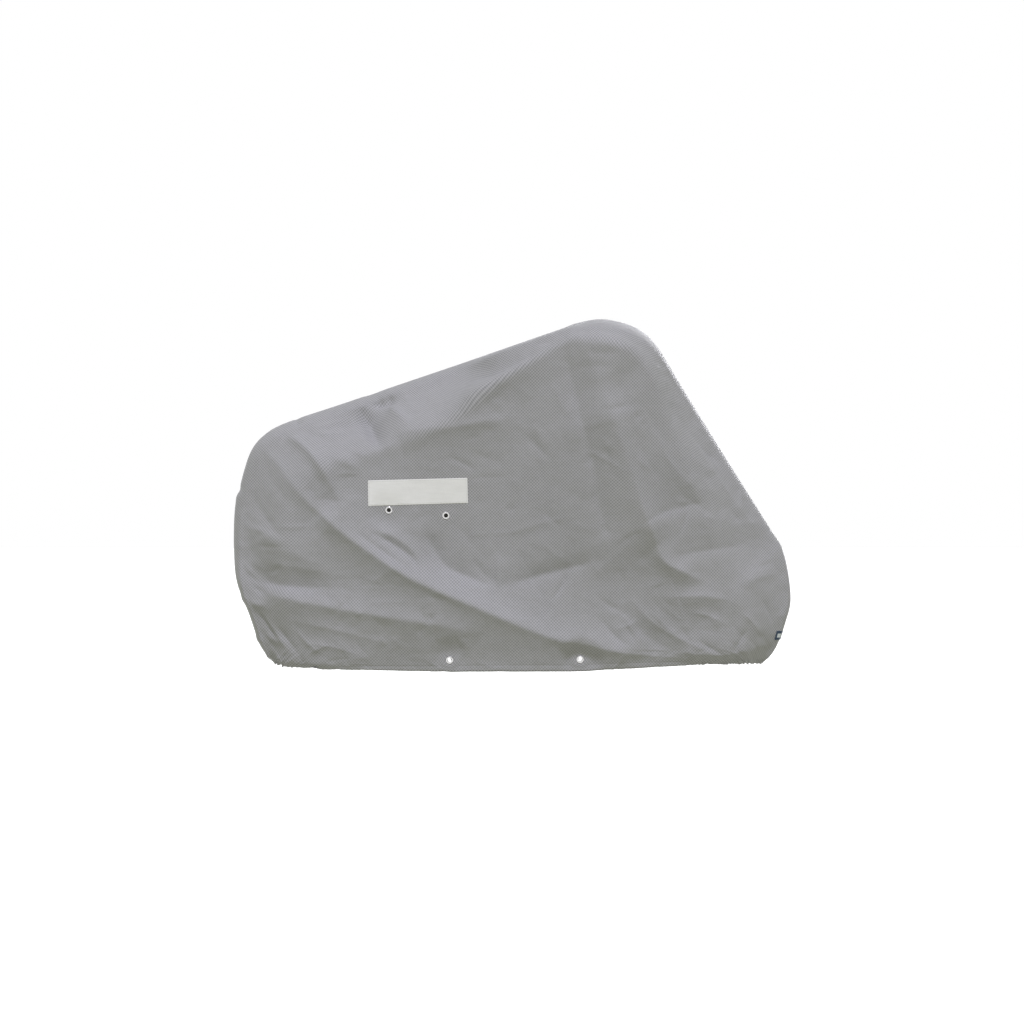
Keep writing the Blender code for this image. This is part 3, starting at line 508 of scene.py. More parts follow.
def fold_height(fold, x, z, ends):
    """How far one fold lifts each point of the wall."""
    line = curve_through(fold.crest, np.linspace(0, len(fold.crest) - 1, FOLD_SAMPLES))
    reach = FOLD_REACH * max(fold.upper, fold.lower)
    low, high = line.min(axis=0) - reach, line.max(axis=0) + reach
    chosen = (x > low[0]) & (x < high[0]) & (z > low[1]) & (z < high[1])
    away = np.stack([x[chosen], z[chosen]], axis=-1)[:, None, :] - line[:-1]
    pieces = np.diff(line, axis=0)
    share = np.clip((away * pieces).sum(axis=2) / (pieces**2).sum(axis=1), 0, 1)
    off = away - share[:, :, None] * pieces
    distance = np.linalg.norm(off, axis=2)
    nearest = distance.argmin(axis=1)
    row = np.arange(len(nearest))
    distance, off, share = distance[row, nearest], off[row, nearest], share[row, nearest]
    direction = pieces[nearest]
    is_upper = direction[:, 0] * off[:, 1] - direction[:, 1] * off[:, 0] > 0
    width = np.where(is_upper, fold.upper, fold.lower)
    run = (nearest + share) / (FOLD_SAMPLES - 1)
    dying = min(FOLD_FADE, FADE_LENGTH / travelled(line)[-1])
    fade = smooth(run / dying) * smooth((1 - run) / dying)
    height = np.zeros_like(x)
    # the crest of a crisp fold is still rounded, over about a tenth of its width
    fall = np.hypot(distance / width, CREST) ** fold.crisp - CREST**fold.crisp
    height[chosen] = fold.rise * (ends + (1 - ends) * fade) * np.exp(-fall)
    return height


def as_seen(points):
    """The places at which the camera sees points of a wall, given at the centre plane."""
    nearer = VIEW_DISTANCE / (VIEW_DISTANCE - np.abs(points[:, :, 1]))
    return VIEW_X + (points[:, :, 0] - VIEW_X) * nearer, VIEW_Z + (points[:, :, 2] - VIEW_Z) * nearer


def calm(x, z, eyelets, radius):
    """0 at an eyelet and 1 at a radius from all of them."""
    result = np.ones_like(x)
    for _, eyelet_x, eyelet_z in eyelets:
        distance = np.hypot(x - eyelet_x, z - eyelet_z)
        result *= smooth((distance - FLANGE_RADIUS) / radius)
    return result


def under_patch(x, z):
    """1 under the patch, which the cloth carries flat, and 0 away from it."""
    (left, _), (right, top), (_, low) = PATCH[0], PATCH[1], PATCH[2]
    margin = 0.03
    over_x = smooth((x - left) / margin + 1) * smooth((right - x) / margin + 1)
    over_z = smooth((z - low) / margin + 1) * smooth((top - z) / margin + 1)
    return over_x * over_z


def layered_noise(u, v, size, seed):
    """Noise with features of about a size, one number for each place."""
    flat_u, flat_v = u.ravel() / size, v.ravel() / size
    heights = [noise.noise(Vector((a, b, seed))) for a, b in zip(flat_u, flat_v)]
    return np.array(heights).reshape(u.shape)


def crumple(cut, seed):
    """The small uneven creases that are all over the cloth."""
    u, v = cut[:, :, 0], cut[:, :, 1]
    bend = BEND * layered_noise(u, v, BEND_SIZE, seed + 3.3)
    broad = np.abs(layered_noise(u + bend, v * 0.8 - bend, BROAD_SIZE, seed))
    fine = np.abs(layered_noise(u * 0.85 + bend, v + 2 * bend, FINE_SIZE, seed + 7.1))
    swell = SWELL_LIFT * layered_noise(u, v, SWELL_SIZE, seed + 11.7)
    return BROAD_LIFT * (broad - NOISE_LEVEL) + FINE_LIFT * (fine - NOISE_LEVEL) + swell


def open_edge(points, left):
    """For each point its distance from the open edge, and how far along that edge it lies."""
    across = np.linalg.norm(np.diff(points, axis=0), axis=2)
    from_rear = np.vstack([np.zeros((1, points.shape[1])), np.cumsum(across, axis=0)])
    from_front = from_rear[-1:] - from_rear
    edge = np.minimum(np.minimum(from_rear, from_front), left)
    hem_run = from_rear[:, -1:]
    run = np.where(left <= np.minimum(from_rear, from_front), hem_run, 0.0)
    run = np.where(from_rear < left, -left, run)
    run = np.where((from_front < left) & (from_front < from_rear), hem_run[-1] + left, run)
    return edge, run


def gathers(points, left, seed):
    """The puckers that the elastic draws in along the hem, strong at both feet."""
    edge, run = open_edge(points, left)
    x = points[:, :, 0]
    (rear, rear_growth), (front, front_growth) = REAR_GATHERS, FRONT_GATHERS
    pull = smooth((rear - x) / rear_growth) + smooth((x - front) / front_growth) + GATHER_LEAST
    # the waves aren't even in pitch or in strength
    waver = 0.012 * np.sin(run * 31.0 + seed) + 0.006 * np.sin(run * 77.0 + 2 * seed)
    wave = np.sin(2 * math.pi * (run + waver) / GATHER_PITCH)
    wave += 0.5 * np.sin(2 * math.pi * (run - waver) / GATHER_SHORT_PITCH + 1)
    strength = 0.75 + 0.35 * np.sin(run * 23.0 + 3 * seed)
    return GATHER_LIFT * pull * strength * wave * np.exp(-edge / GATHER_REACH)


def scattered(x, z, seed):
    """The lift of the small creases, which are placed by a fixed random draw."""
    draw = np.random.default_rng(seed)
    height = np.zeros_like(x)
    for _ in range(SCATTER):
        i, j = draw.integers(x.shape[0]), draw.integers(x.shape[1])
        middle = np.array([x[i, j], z[i, j]])
        length = draw.uniform(*SCATTER_LENGTH)
        turn = SCATTER_PULL + SCATTER_SPREAD * draw.normal()
        turn += math.pi / 2 if draw.random() < SCATTER_ACROSS else 0
        along = np.array([math.cos(turn), math.sin(turn)]) * length / 2
        bow = np.array([-along[1], along[0]]) * draw.uniform(-SCATTER_BOW, SCATTER_BOW)
        width = draw.uniform(*SCATTER_WIDTH)
        other = width * draw.uniform(*SCATTER_UNEVEN)
        rise = draw.uniform(*SCATTER_RISE) * draw.choice((-1, 1))
        crest = middle - along, middle + bow, middle + along
        height += fold_height(Fold(rise, width, other, SCATTER_CRISP, crest), x, z, 0.0)
    return height


def creased_wall(side, folds, creases, eyelets, seed):
    """The outer face of one panel, its normals and the place of each point on the flat cut."""
    points, arc, left, depth, crown_depth, cut = smooth_wall()
    x, z = points[:, :, 0], points[:, :, 2] - TOP
    quiet, near_quiet = calm(x, z, eyelets, FOLD_CALM), calm(x, z, eyelets, CREASE_CALM)
    flat = under_patch(x, z) if side == NEAR else np.zeros_like(x)
    seen_x, seen_z = as_seen(points)
    main = sum(fold_height(fold, seen_x, seen_z, FOLD_ENDS) for fold in folds)
    main *= smooth(depth / (crown_depth + SEAM_CALM))
    fine = sum(fold_height(fold, seen_x, seen_z, 0.0) for fold in creases)
    fine += crumple(cut, seed) + scattered(x, z, int(seed))
    fine *= smooth(depth / (crown_depth + CREASE_GROWTH)) * (1 - PATCH_CALM * flat)
    points = points + outward(points) * (quiet * main + near_quiet * fine)[:, :, None]
    small = gathers(points, left, seed) * smooth(arc / GATHER_REACH)
    for bump_x, bump_z, rise, radius in OUTLINE_BUMPS:
        small = small + rise * np.exp(-(((x - bump_x) ** 2 + (z - bump_z) ** 2) / radius**2))
    edge, _ = open_edge(points, left)
    small = small - HEM_TUCK * smooth((HEM_TUCK_DEPTH - edge) / HEM_TUCK_DEPTH)
    small = small - STITCH_DENT * np.exp(-(((edge - STITCH_LINE) / STITCH_DENT_WIDTH) ** 2))
    small = small - GROOVE_DEPTH * np.exp(-((arc / GROOVE_WIDTH) ** 2))
    points = points + outward(points) * (small * np.maximum(near_quiet, CALM_LEAST))[:, :, None]
    # the elastic also draws the hem's edge up a little between its gathers
    teeth = np.abs(gathers(points, left, seed + 0.8)) * np.exp(-left / TOOTH_REACH)
    points[:, :, 2] += TOOTH_RISE * teeth
    normals = outward(points)
    points[:, :, 1] += SEAM_OPENING
    mirror = np.array([1, side, 1])
    return points * mirror, normals * mirror, cut


def open_holes(points, normals, eyelets):
    """Draws the cloth back around each eyelet's hole. It returns the cells that are left out."""
    dropped = []
    for _, x, z in eyelets:
        place = np.array([x, z + TOP])
        corners = points[:, :, [0, 2]]
        middle = (corners[:-1, :-1] + corners[1:, :-1] + corners[1:, 1:] + corners[:-1, 1:]) / 4
        i, j = np.unravel_index(np.linalg.norm(middle - place, axis=2).argmin(), middle.shape[:2])
        dropped.append((i, j))
        near = tuple(slice(max(k - HOLE_CELLS, 0), k + HOLE_CELLS + 2) for k in (i, j))
        centre = points[i:i + 2, j:j + 2].reshape(-1, 3).mean(axis=0)
        normal = normals[i, j]
        wanted = centre.copy()
        wanted[[0, 2]] = place
        offset = points[near] - centre
        flat = offset - (offset @ normal)[:, :, None] * normal
        reach = np.linalg.norm(flat, axis=2, keepdims=True)
        fade = 1 - smooth(reach / (1.2 * HOLE_PULL))
        shift = wanted - centre
        shift -= normal * (shift @ normal)
        drawn = CLOTH_HOLE + reach * (1 - CLOTH_HOLE / HOLE_PULL)
        opened = np.where(reach < HOLE_PULL, drawn, reach)
        points[near] += flat / np.maximum(reach, 1e-6) * (opened - reach) + shift * fade
    return dropped


# ------------------------------------------------------------------ meshes

def mesh_object(name, vertices, faces, finish, uv=None, smooth_angle=60):
    """An object from arrays of vertices and of quads or triangles, with its cut as a UV map."""
    vertices, faces = np.asarray(vertices, np.float32), np.asarray(faces, np.int32)
    mesh = bpy.data.meshes.new(name)
    count, corners = faces.shape
    mesh.vertices.add(len(vertices))
    mesh.vertices.foreach_set("co", vertices.ravel())
    mesh.loops.add(count * corners)
    mesh.loops.foreach_set("vertex_index", faces.ravel())
    mesh.polygons.add(count)
    mesh.polygons.foreach_set("loop_start", np.arange(0, count * corners, corners, dtype=np.int32))
    if uv is not None:
        layer = mesh.uv_layers.new(name="Cut")
        layer.data.foreach_set("uv", np.asarray(uv, np.float32)[faces.ravel()].ravel())
    mesh.update(calc_edges=True)
    mesh.validate()
    mesh.shade_smooth()
    mesh.set_sharp_from_angle(angle=math.radians(smooth_angle))
    thing = bpy.data.objects.new(name, mesh)
    bpy.context.scene.collection.objects.link(thing)
    mesh.materials.append(finish)
    return thing


def grid_faces(ribs, rows, start=0, dropped=()):
    """The quads of a grid whose points are numbered rib by rib."""
    index = start + np.arange(ribs * rows).reshape(ribs, rows)
    quads = np.stack([index[:-1, :-1], index[1:, :-1], index[1:, 1:], index[:-1, 1:]], axis=2)
    keep = np.ones(quads.shape[:2], bool)
    for i, j in dropped:
        keep[i, j] = False
    return quads[keep]


def panel(name, side, folds, creases, eyelets, seed, finish):
    """A panel's cloth with its seam allowance and its turned-up hem."""
    points, normals, cut = creased_wall(side, folds, creases, eyelets, seed)
    dropped = open_holes(points, normals, eyelets)
    ribs, rows = points.shape[:2]
    vertices, places, faces = [points.reshape(-1, 3)], [cut.reshape(-1, 2)], []
    faces.append(grid_faces(ribs, rows, 0, dropped))
    total = ribs * rows
    # the allowance: it turns in at the seam and lies against the other panel's
    inward = -normals[:, 0]
    step = -np.gradient(cut[:, 0], axis=0)[:, ::-1] * [1, -1]
    step /= np.linalg.norm(step, axis=1, keepdims=True)
    strips = [points[:, 0]] + [points[:, 0] + inward * reach for reach in ALLOWANCE]
    strips = np.stack(strips[::-1], axis=1)
    strip_cut = np.stack([cut[:, 0] + step * reach for reach in (*ALLOWANCE[::-1], 0.0)], axis=1)
    faces.append(grid_faces(ribs, strips.shape[1], total))
    vertices.append(strips.reshape(-1, 3))
    places.append(strip_cut.reshape(-1, 2))
    total += strips.shape[0] * strips.shape[1]
    # the hem: cells near the open edge are doubled on the inside and joined along that edge
    inner = points - normals * HEM_TURN_GAP
    turned = np.zeros((ribs - 1, rows - 1), bool)
    turned[:, -HEM_TURN_ROWS:] = True
    turned[:HEM_TURN_RIBS] = turned[-HEM_TURN_RIBS:] = True
    turned[:, :HEM_TURN_START] = False
    for i, j in dropped:
        turned[i, j] = False
    cells = grid_faces(ribs, rows).reshape(ribs - 1, rows - 1, 4)[turned]
    used, renumbered = np.unique(cells, return_inverse=True)
    faces.append(total + renumbered.reshape(cells.shape)[:, ::-1])
    vertices.append(inner.reshape(-1, 3)[used])
    places.append(cut.reshape(-1, 2)[used] + [0.0, HEM_TURN_CUT])
    index = np.arange(ribs * rows).reshape(ribs, rows)
    feet = slice(HEM_TURN_START, -1)
    rim = np.concatenate([index[0, feet], index[:, -1], index[-1, feet][::-1]])
    twin = total + np.searchsorted(used, rim)
    faces.append(np.stack([rim[:-1], rim[1:], twin[1:], twin[:-1]], axis=1))
    faces = np.concatenate(faces)
    if side == NEAR:
        faces = faces[:, ::-1]
    thing = mesh_object(name, np.concatenate(vertices), faces, finish, np.concatenate(places), 180)
    return thing, points, normals, cut


def tree_of(points):
    """The cloth's outer face as something to aim at."""
    ribs, rows = points.shape[:2]
    return BVHTree.FromPolygons(points.reshape(-1, 3).tolist(), grid_faces(ribs, rows).tolist())


def seat(tree, x, z, side):
    """The point of the cloth at x and z, seen square on from its side, and its outward normal."""
    point, normal, _, _ = tree.ray_cast(Vector((x, side * 2.0, z + TOP)), Vector((0, -side, 0)))
    if point is None:  # just past the seam
        edge, normal, _, _ = tree.find_nearest(Vector((x, side * 0.004, z + TOP)))
        point = Vector((x, edge.y, z + TOP))
    return point, normal if normal.y * side > 0 else -normal


def slab(name, corners, columns, lines, tree, finish, edge, lift=None):
    """A thin sewn-on piece that follows the cloth, with rounded edges. Its cut runs from 0 to 1 each
    way. It returns the piece and its flat size, measured along its middle lines."""
    upper = [Vector(corners[0]).lerp(Vector(corners[1]), t) for t in columns]
    lower = [Vector(corners[3]).lerp(Vector(corners[2]), t) for t in columns]
    width = (Vector(corners[1]) - Vector(corners[0])).length
    height = (Vector(corners[3]) - Vector(corners[0])).length
    outer, base, places = [], [], []
    for s, top, low in zip(columns, upper, lower):
        for t in lines:
            flat = top.lerp(low, t)
            point, normal = seat(tree, flat.x, flat.y, NEAR)
            rim = min(s * width, (1 - s) * width, t * height, (1 - t) * height)
            round_off = math.sqrt(max(0.0, 1 - (1 - min(rim / edge, 1)) ** 2))
            raised = lift(s, t) if lift else 0.0
            thickness = SEWN_THICKNESS * (EDGE_LEAST + (1 - EDGE_LEAST) * round_off)
            outer.append(point + normal * (SEWN_LIFT + raised + thickness))
            base.append(point + normal * (SEWN_BASE + raised))
            places.append((s, 1 - t))
    ribs, rows = len(columns), len(lines)
    faces = [grid_faces(ribs, rows)[:, ::-1], grid_faces(ribs, rows, ribs * rows)]
    index = np.arange(ribs * rows).reshape(ribs, rows)
    rim = np.concatenate([index[0, :-1], index[:-1, -1], index[-1, :0:-1], index[:0:-1, 0]])
    ahead = np.roll(rim, -1)
    faces.append(np.stack([rim, rim + ribs * rows, ahead + ribs * rows, ahead], axis=1)[:, ::-1])
    vertices = [tuple(v) for v in outer + base]
    thing = mesh_object(name, vertices, np.concatenate(faces), finish, places * 2, 70)
    lay = np.array(vertices[:ribs * rows]).reshape(ribs, rows, 3)
    flat = travelled(lay[:, rows // 2])[-1], travelled(lay[ribs // 2])[-1]
    return thing, (float(flat[0]), float(flat[1]))


def ruled(count, edge_share):
    """Places from 0 to 1, even but for closer ones at both ends."""
    ends = [0.0, edge_share / 4, edge_share / 2, edge_share]
    middle = list(np.linspace(edge_share, 1 - edge_share, count)[1:-1])
    return ends + middle + [1 - e for e in reversed(ends)]


def turned_ring(name, profile, sides, finish, place, normal):
    """A ring turned about a normal from a closed profile of radius and height."""
    angles = np.linspace(0, 2 * math.pi, sides, endpoint=False)
    radius, height = np.array(profile).T
    ring = np.stack([
        np.outer(np.cos(angles), radius), np.outer(np.sin(angles), radius),
        np.repeat(height[None, :], sides, axis=0),
    ], axis=2)
    index = np.arange(sides * len(profile)).reshape(sides, len(profile))
    ahead = np.roll(index, -1, axis=0)
    quads = np.stack([index, ahead, np.roll(ahead, -1, axis=1), np.roll(index, -1, axis=1)], axis=2)
    turn = np.array(normal.to_track_quat("Z", "Y").to_matrix())
    vertices = ring.reshape(-1, 3) @ turn.T + np.array(place)
    return mesh_object(name, vertices, quads.reshape(-1, 4), finish, None, 40)


def eyelet_profile():
    """The section of a two-part eyelet: a rolled flange outside and a flat washer inside."""
    points = [(BARREL_RADIUS, -0.0009), (BARREL_RADIUS, 0.0004)]
    points += [(FLANGE_RADIUS - 0.0004, 0.0003), (FLANGE_RADIUS, 0.0005)]
    middle = (FLANGE_RADIUS + HOLE_RADIUS) / 2
    spread = (FLANGE_RADIUS - HOLE_RADIUS) / 2
    for k in range(15):
        angle = math.pi * k / 14
        across = math.copysign(abs(math.cos(angle)) ** 0.8, math.cos(angle))
        points.append((middle + spread * across, 0.0007 + 0.0013 * math.sin(angle) ** 0.75))
    points += [(HOLE_RADIUS, -0.0012), (HOLE_RADIUS + 0.0004, -0.0019)]
    points += [(HOLE_RADIUS + 0.0011, -0.0021)]
    points += [(BARREL_RADIUS + 0.0012, -0.0018), (FLANGE_RADIUS - 0.0006, -0.0017)]
    points += [(FLANGE_RADIUS - 0.0006, -0.0013), (BARREL_RADIUS + 0.0004, -0.0013)]
    return points


# ------------------------------------------------------------------ stitches

def stitch_row(path, normals, eyelets):
    """The vertices and quads of a row of stitches that lie along a path on the cloth, with none
    under an eyelet's flange."""
    run = travelled(path)
    count = int(run[-1] / STITCH_PITCH)
    starts = np.arange(count) * STITCH_PITCH + (run[-1] - count * STITCH_PITCH) / 2
    stations = (-0.5, -0.32, 0.0, 0.32, 0.5)  # along a stitch
    swell = (0.35, 0.9, 1.0, 0.9, 0.35)  # how fat it is there
    sink = (-0.9, -0.1, 0.25, -0.1, -0.9)  # and how high its middle lies, in its own radius
    vertices, faces = [], []
    for start in starts:
        x, z = (np.interp(start + STITCH_PITCH / 2, run, path[:, k]) for k in (0, 2))
        if any(math.hypot(x - a, z - b - TOP) < FLANGE_CLEAR for _, a, b in eyelets):
            continue
        first = len(vertices)
        for station, fat, low in zip(stations, swell, sink):
            at = start + STITCH_PITCH / 2 + station * STITCH_LENGTH
            place = np.array([np.interp(at, run, path[:, k]) for k in range(3)])
            ahead = np.array([np.interp(at + 0.001, run, path[:, k]) for k in range(3)]) - place
            normal = np.array([np.interp(at, run, normals[:, k]) for k in range(3)])
            ahead /= max(np.linalg.norm(ahead), 1e-9)
            across = np.cross(normal, ahead)
            across /= max(np.linalg.norm(across), 1e-9)
            centre = place + normal * STITCH_RADIUS * low
            for corner in range(4):
                angle = math.pi / 4 + corner * math.pi / 2
                spoke = across * math.cos(angle) * 1.3 + normal * math.sin(angle)
                vertices.append(centre + spoke * STITCH_RADIUS * fat)
        for ring in range(4):
            for corner in range(4):
                a, b = first + ring * 4 + corner, first + ring * 4 + (corner + 1) % 4
                faces.append((a, b, b + 4, a + 4))
        faces.append((first + 3, first + 2, first + 1, first))
        faces.append((first + 16, first + 17, first + 18, first + 19))
    return vertices, faces


def stitches(name, rows, finish, eyelets=()):
    """All the stitches of some rows as one mesh."""
    vertices, faces = [], []
    for path, normals in rows:
        made, quads = stitch_row(path, normals, eyelets)
        faces += [tuple(v + len(vertices) for v in quad) for quad in quads]
        vertices += made
    return mesh_object(name, vertices, faces, finish, None, 60)


def hem_rows(points, normals):
    """The paths of the hem's stitch line: up the rear foot, along the hem and up the front foot."""
    ribs, rows = points.shape[:2]
    row = rows - len(HEM_ROWS) + HEM_ROWS.index(STITCH_LINE)
    keep = slice(HEM_TURN_RIBS + 1, ribs - HEM_TURN_RIBS - 1)
    paths = [(points[keep, row], normals[keep, row])]
    for order in (slice(None), slice(None, None, -1)):
        across = points[order]
        found, facing = [], []
        for j in range(FOOT_START, row):
            foot, directions = across[:FOOT_RIBS, j], normals[order][:FOOT_RIBS, j]
            run = travelled(foot)
            found.append([np.interp(STITCH_LINE, run, foot[:, k]) for k in range(3)])
            facing.append([np.interp(STITCH_LINE, run, directions[:, k]) for k in range(3)])
        paths.append((np.array(found), np.array(facing)))
    return paths


def border_row(corners, inset, tree, height):
    """A stitch path all round a sewn-on piece, inside its edge."""
    middle = sum((Vector(c) for c in corners), Vector((0, 0))) / 4
    inner = []
    for corner in corners:
        away = Vector(corner) - middle
        step = Vector((math.copysign(inset, away.x), math.copysign(inset, away.y)))
        inner.append(Vector(corner) - step)
    path, facing = [], []
    for a, b in zip(inner, inner[1:] + inner[:1]):
        steps = max(2, int((b - a).length / PATH_STEP))
        for k in range(steps):
            flat = a.lerp(b, k / steps)
            point, normal = seat(tree, flat.x, flat.y, NEAR)
            path.append(np.array(point + normal * height))
            facing.append(np.array(normal))
    return np.array(path + path[:1]), np.array(facing + facing[:1])


# ------------------------------------------------------------------ materials

class Nodes:
    """A new material's nodes, with short names for the ones used here."""

    def __init__(self, name, colour, roughness, metallic=0.0, **constants):
        self.material = bpy.data.materials.new(name)
        self.material.use_nodes = True
        self.tree = self.material.node_tree
        self.shader = self.tree.nodes["Principled BSDF"]
        self.shader.inputs["Base Color"].default_value = (*colour, 1)
        self.shader.inputs["Roughness"].default_value = roughness
        self.shader.inputs["Metallic"].default_value = metallic
        for key, value in constants.items():
            self.shader.inputs[key.replace("_", " ")].default_value = value
        self.material.diffuse_color = (*colour, 1)

    def add(self, kind, inputs=(), **settings):
        node = self.tree.nodes.new(kind)
        for key, value in settings.items():
            setattr(node, key, value)
        for key, value in dict(inputs).items():
            if isinstance(value, bpy.types.NodeSocket):
                self.tree.links.new(value, node.inputs[key])
            else:
                node.inputs[key].default_value = value
        return node

    def math(self, operation, a, b=0.0):
        return self.add("ShaderNodeMath", {0: a, 1: b}, operation=operation).outputs[0]

    def times_plus(self, a, factor, added):
        made = self.add("ShaderNodeMath", {0: a, 1: factor, 2: added}, operation="MULTIPLY_ADD")
        return made.outputs[0]

    def wave(self, a, period):
        return self.math("COSINE", self.math("MULTIPLY", a, 2 * math.pi / period))

    def between(self, a, low, high):
        above, below = self.math("GREATER_THAN", a, low), self.math("LESS_THAN", a, high)
        return self.math("MULTIPLY", above, below)

    def cut(self):
        """The place on the flat cut, in metres, as a vector and its two parts."""
        vector = self.add("ShaderNodeUVMap", uv_map="Cut").outputs[0]
        parts = self.add("ShaderNodeSeparateXYZ", {0: vector})
        return vector, parts.outputs[0], parts.outputs[1]

    def noise(self, vector, scale, detail=2.0, roughness=0.5):
        made = self.add(
            "ShaderNodeTexNoise",
            {"Vector": vector, "Scale": scale, "Detail": detail, "Roughness": roughness},
        )
        return made.outputs["Fac"]

    def shades(self, value, low, high, dark, light):
        """A colour between two greys or colours as a value goes from low to high."""
        share = self.add(
            "ShaderNodeMapRange", {"Value": value, "From Min": low, "From Max": high}, clamp=True
        ).outputs[0]
        made = self.add("ShaderNodeMix", {0: share}, data_type="RGBA")
        made.inputs[6].default_value, made.inputs[7].default_value = (*dark, 1), (*light, 1)
        return made.outputs[2]

    def bump(self, height, distance, strength=1.0, after=None):
        made = self.add(
            "ShaderNodeBump", {"Height": height, "Strength": strength, "Distance": distance}
        )
        if after is not None:
            self.tree.links.new(after, made.inputs["Normal"])
        return made.outputs[0]

    def plug(self, name, socket):
        self.tree.links.new(socket, self.shader.inputs[name])


def scaled(colour, factor):
    return tuple(c * factor for c in colour)


def cloth_material():
    """Coated cloth with a fine diamond grain, small crumples and slightly uneven colour."""
    nodes = Nodes(
        "cover_cloth", CLOTH_GREY, 0.62, Sheen_Weight=0.12, Sheen_Roughness=0.45,
        Specular_IOR_Level=0.2, Sheen_Tint=(*SHEEN, 1.0),
    )
    vector, u, v = nodes.cut()
    diamonds = nodes.math("MULTIPLY", nodes.wave(u, DIAMOND), nodes.wave(v, DIAMOND))
    threads = nodes.math("MULTIPLY", nodes.wave(u, THREADS), nodes.wave(v, THREADS))
    tone = nodes.math("MULTIPLY", diamonds, DIAMOND_SHARE)
    tone = nodes.math("ADD", tone, nodes.math("MULTIPLY", threads, THREAD_SHARE))
    for *look, share in MOTTLES:
        tone = nodes.math("ADD", tone, nodes.math("MULTIPLY", nodes.noise(vector, *look), share))
    middle = sum(row[-1] for row in MOTTLES) / 2  # what the noises add on average
    nodes.plug("Base Color", nodes.shades(
        tone, middle - 0.5, middle + 0.5, scaled(CLOTH_GREY, DARKEST), scaled(CLOTH_GREY, LIGHTEST)
    ))
    crumples = nodes.noise(vector, 26.0, 4.0, 0.62)
    relief = nodes.bump(crumples, 0.0040, 0.35)
    relief = nodes.bump(diamonds, 0.00022, 0.5, relief)
    relief = nodes.bump(threads, 0.00008, 0.5, relief)
    nodes.plug("Normal", relief)
    nodes.plug("Roughness", nodes.times_plus(diamonds, 0.02, 0.68))
    return nodes.material


def woven_material(name, colour, width, height, block=None):
    """A woven piece whose cut runs from 0 to 1 each way, with a lighter block if one is given."""
    nodes = Nodes(name, colour, 0.62, Sheen_Weight=0.08, Specular_IOR_Level=0.3)
    vector, u, v = nodes.cut()
    across, down = nodes.math("MULTIPLY", u, width), nodes.math("MULTIPLY", v, height)
    threads = nodes.math(
        "MULTIPLY", nodes.wave(across, WOVEN_THREADS), nodes.wave(down, WOVEN_THREADS)
    )
    tone = nodes.math("ADD", nodes.math("MULTIPLY", threads, 0.3), nodes.noise(vector, 6.0, 3.0))
    shade = nodes.shades(tone, 0.1, 0.9, scaled(colour, 0.93), scaled(colour, 1.05))
    if block:
        inside = nodes.math("MULTIPLY", nodes.between(u, 0.24, 0.80), nodes.between(v, 0.27, 0.70))
        mixed = nodes.add("ShaderNodeMix", {0: inside, 6: shade}, data_type="RGBA")
        mixed.inputs[7].default_value = (*block, 1)
        shade = mixed.outputs[2]
    nodes.plug("Base Color", shade)
    nodes.plug("Normal", nodes.bump(threads, 0.00012, 0.6))
    return nodes.material


def nickel_material():
    """Bright nickel with faint tumbling marks."""
    nodes = Nodes("eyelet_metal", NICKEL, 0.22, 1.0)
    place = nodes.add("ShaderNodeTexCoord").outputs["Object"]
    marks = nodes.noise(place, 900.0, 3.0)
    nodes.plug("Roughness", nodes.times_plus(marks, 0.16, 0.14))
    nodes.plug("Normal", nodes.bump(marks, 0.00002, 0.4))
    return nodes.material


def thread_material():
    nodes = Nodes("thread", THREAD, 0.55, Sheen_Weight=0.1)
    place = nodes.add("ShaderNodeTexCoord").outputs["Object"]
    twist = nodes.noise(place, 700.0, 2.0)
    dark, light = scaled(THREAD, 0.85), scaled(THREAD, 1.15)
    nodes.plug("Base Color", nodes.shades(twist, 0.2, 0.8, dark, light))
    return nodes.material


# ------------------------------------------------------------------ the studio

def glowing(name, colour, roughness, specular, strength):
    """A material that gives off plain white light over its own colour."""
    nodes = Nodes(name, colour, roughness, Specular_IOR_Level=specular)
    nodes.shader.inputs["Emission Color"].default_value = (1, 1, 1, 1)
    nodes.shader.inputs["Emission Strength"].default_value = strength
    return nodes.material


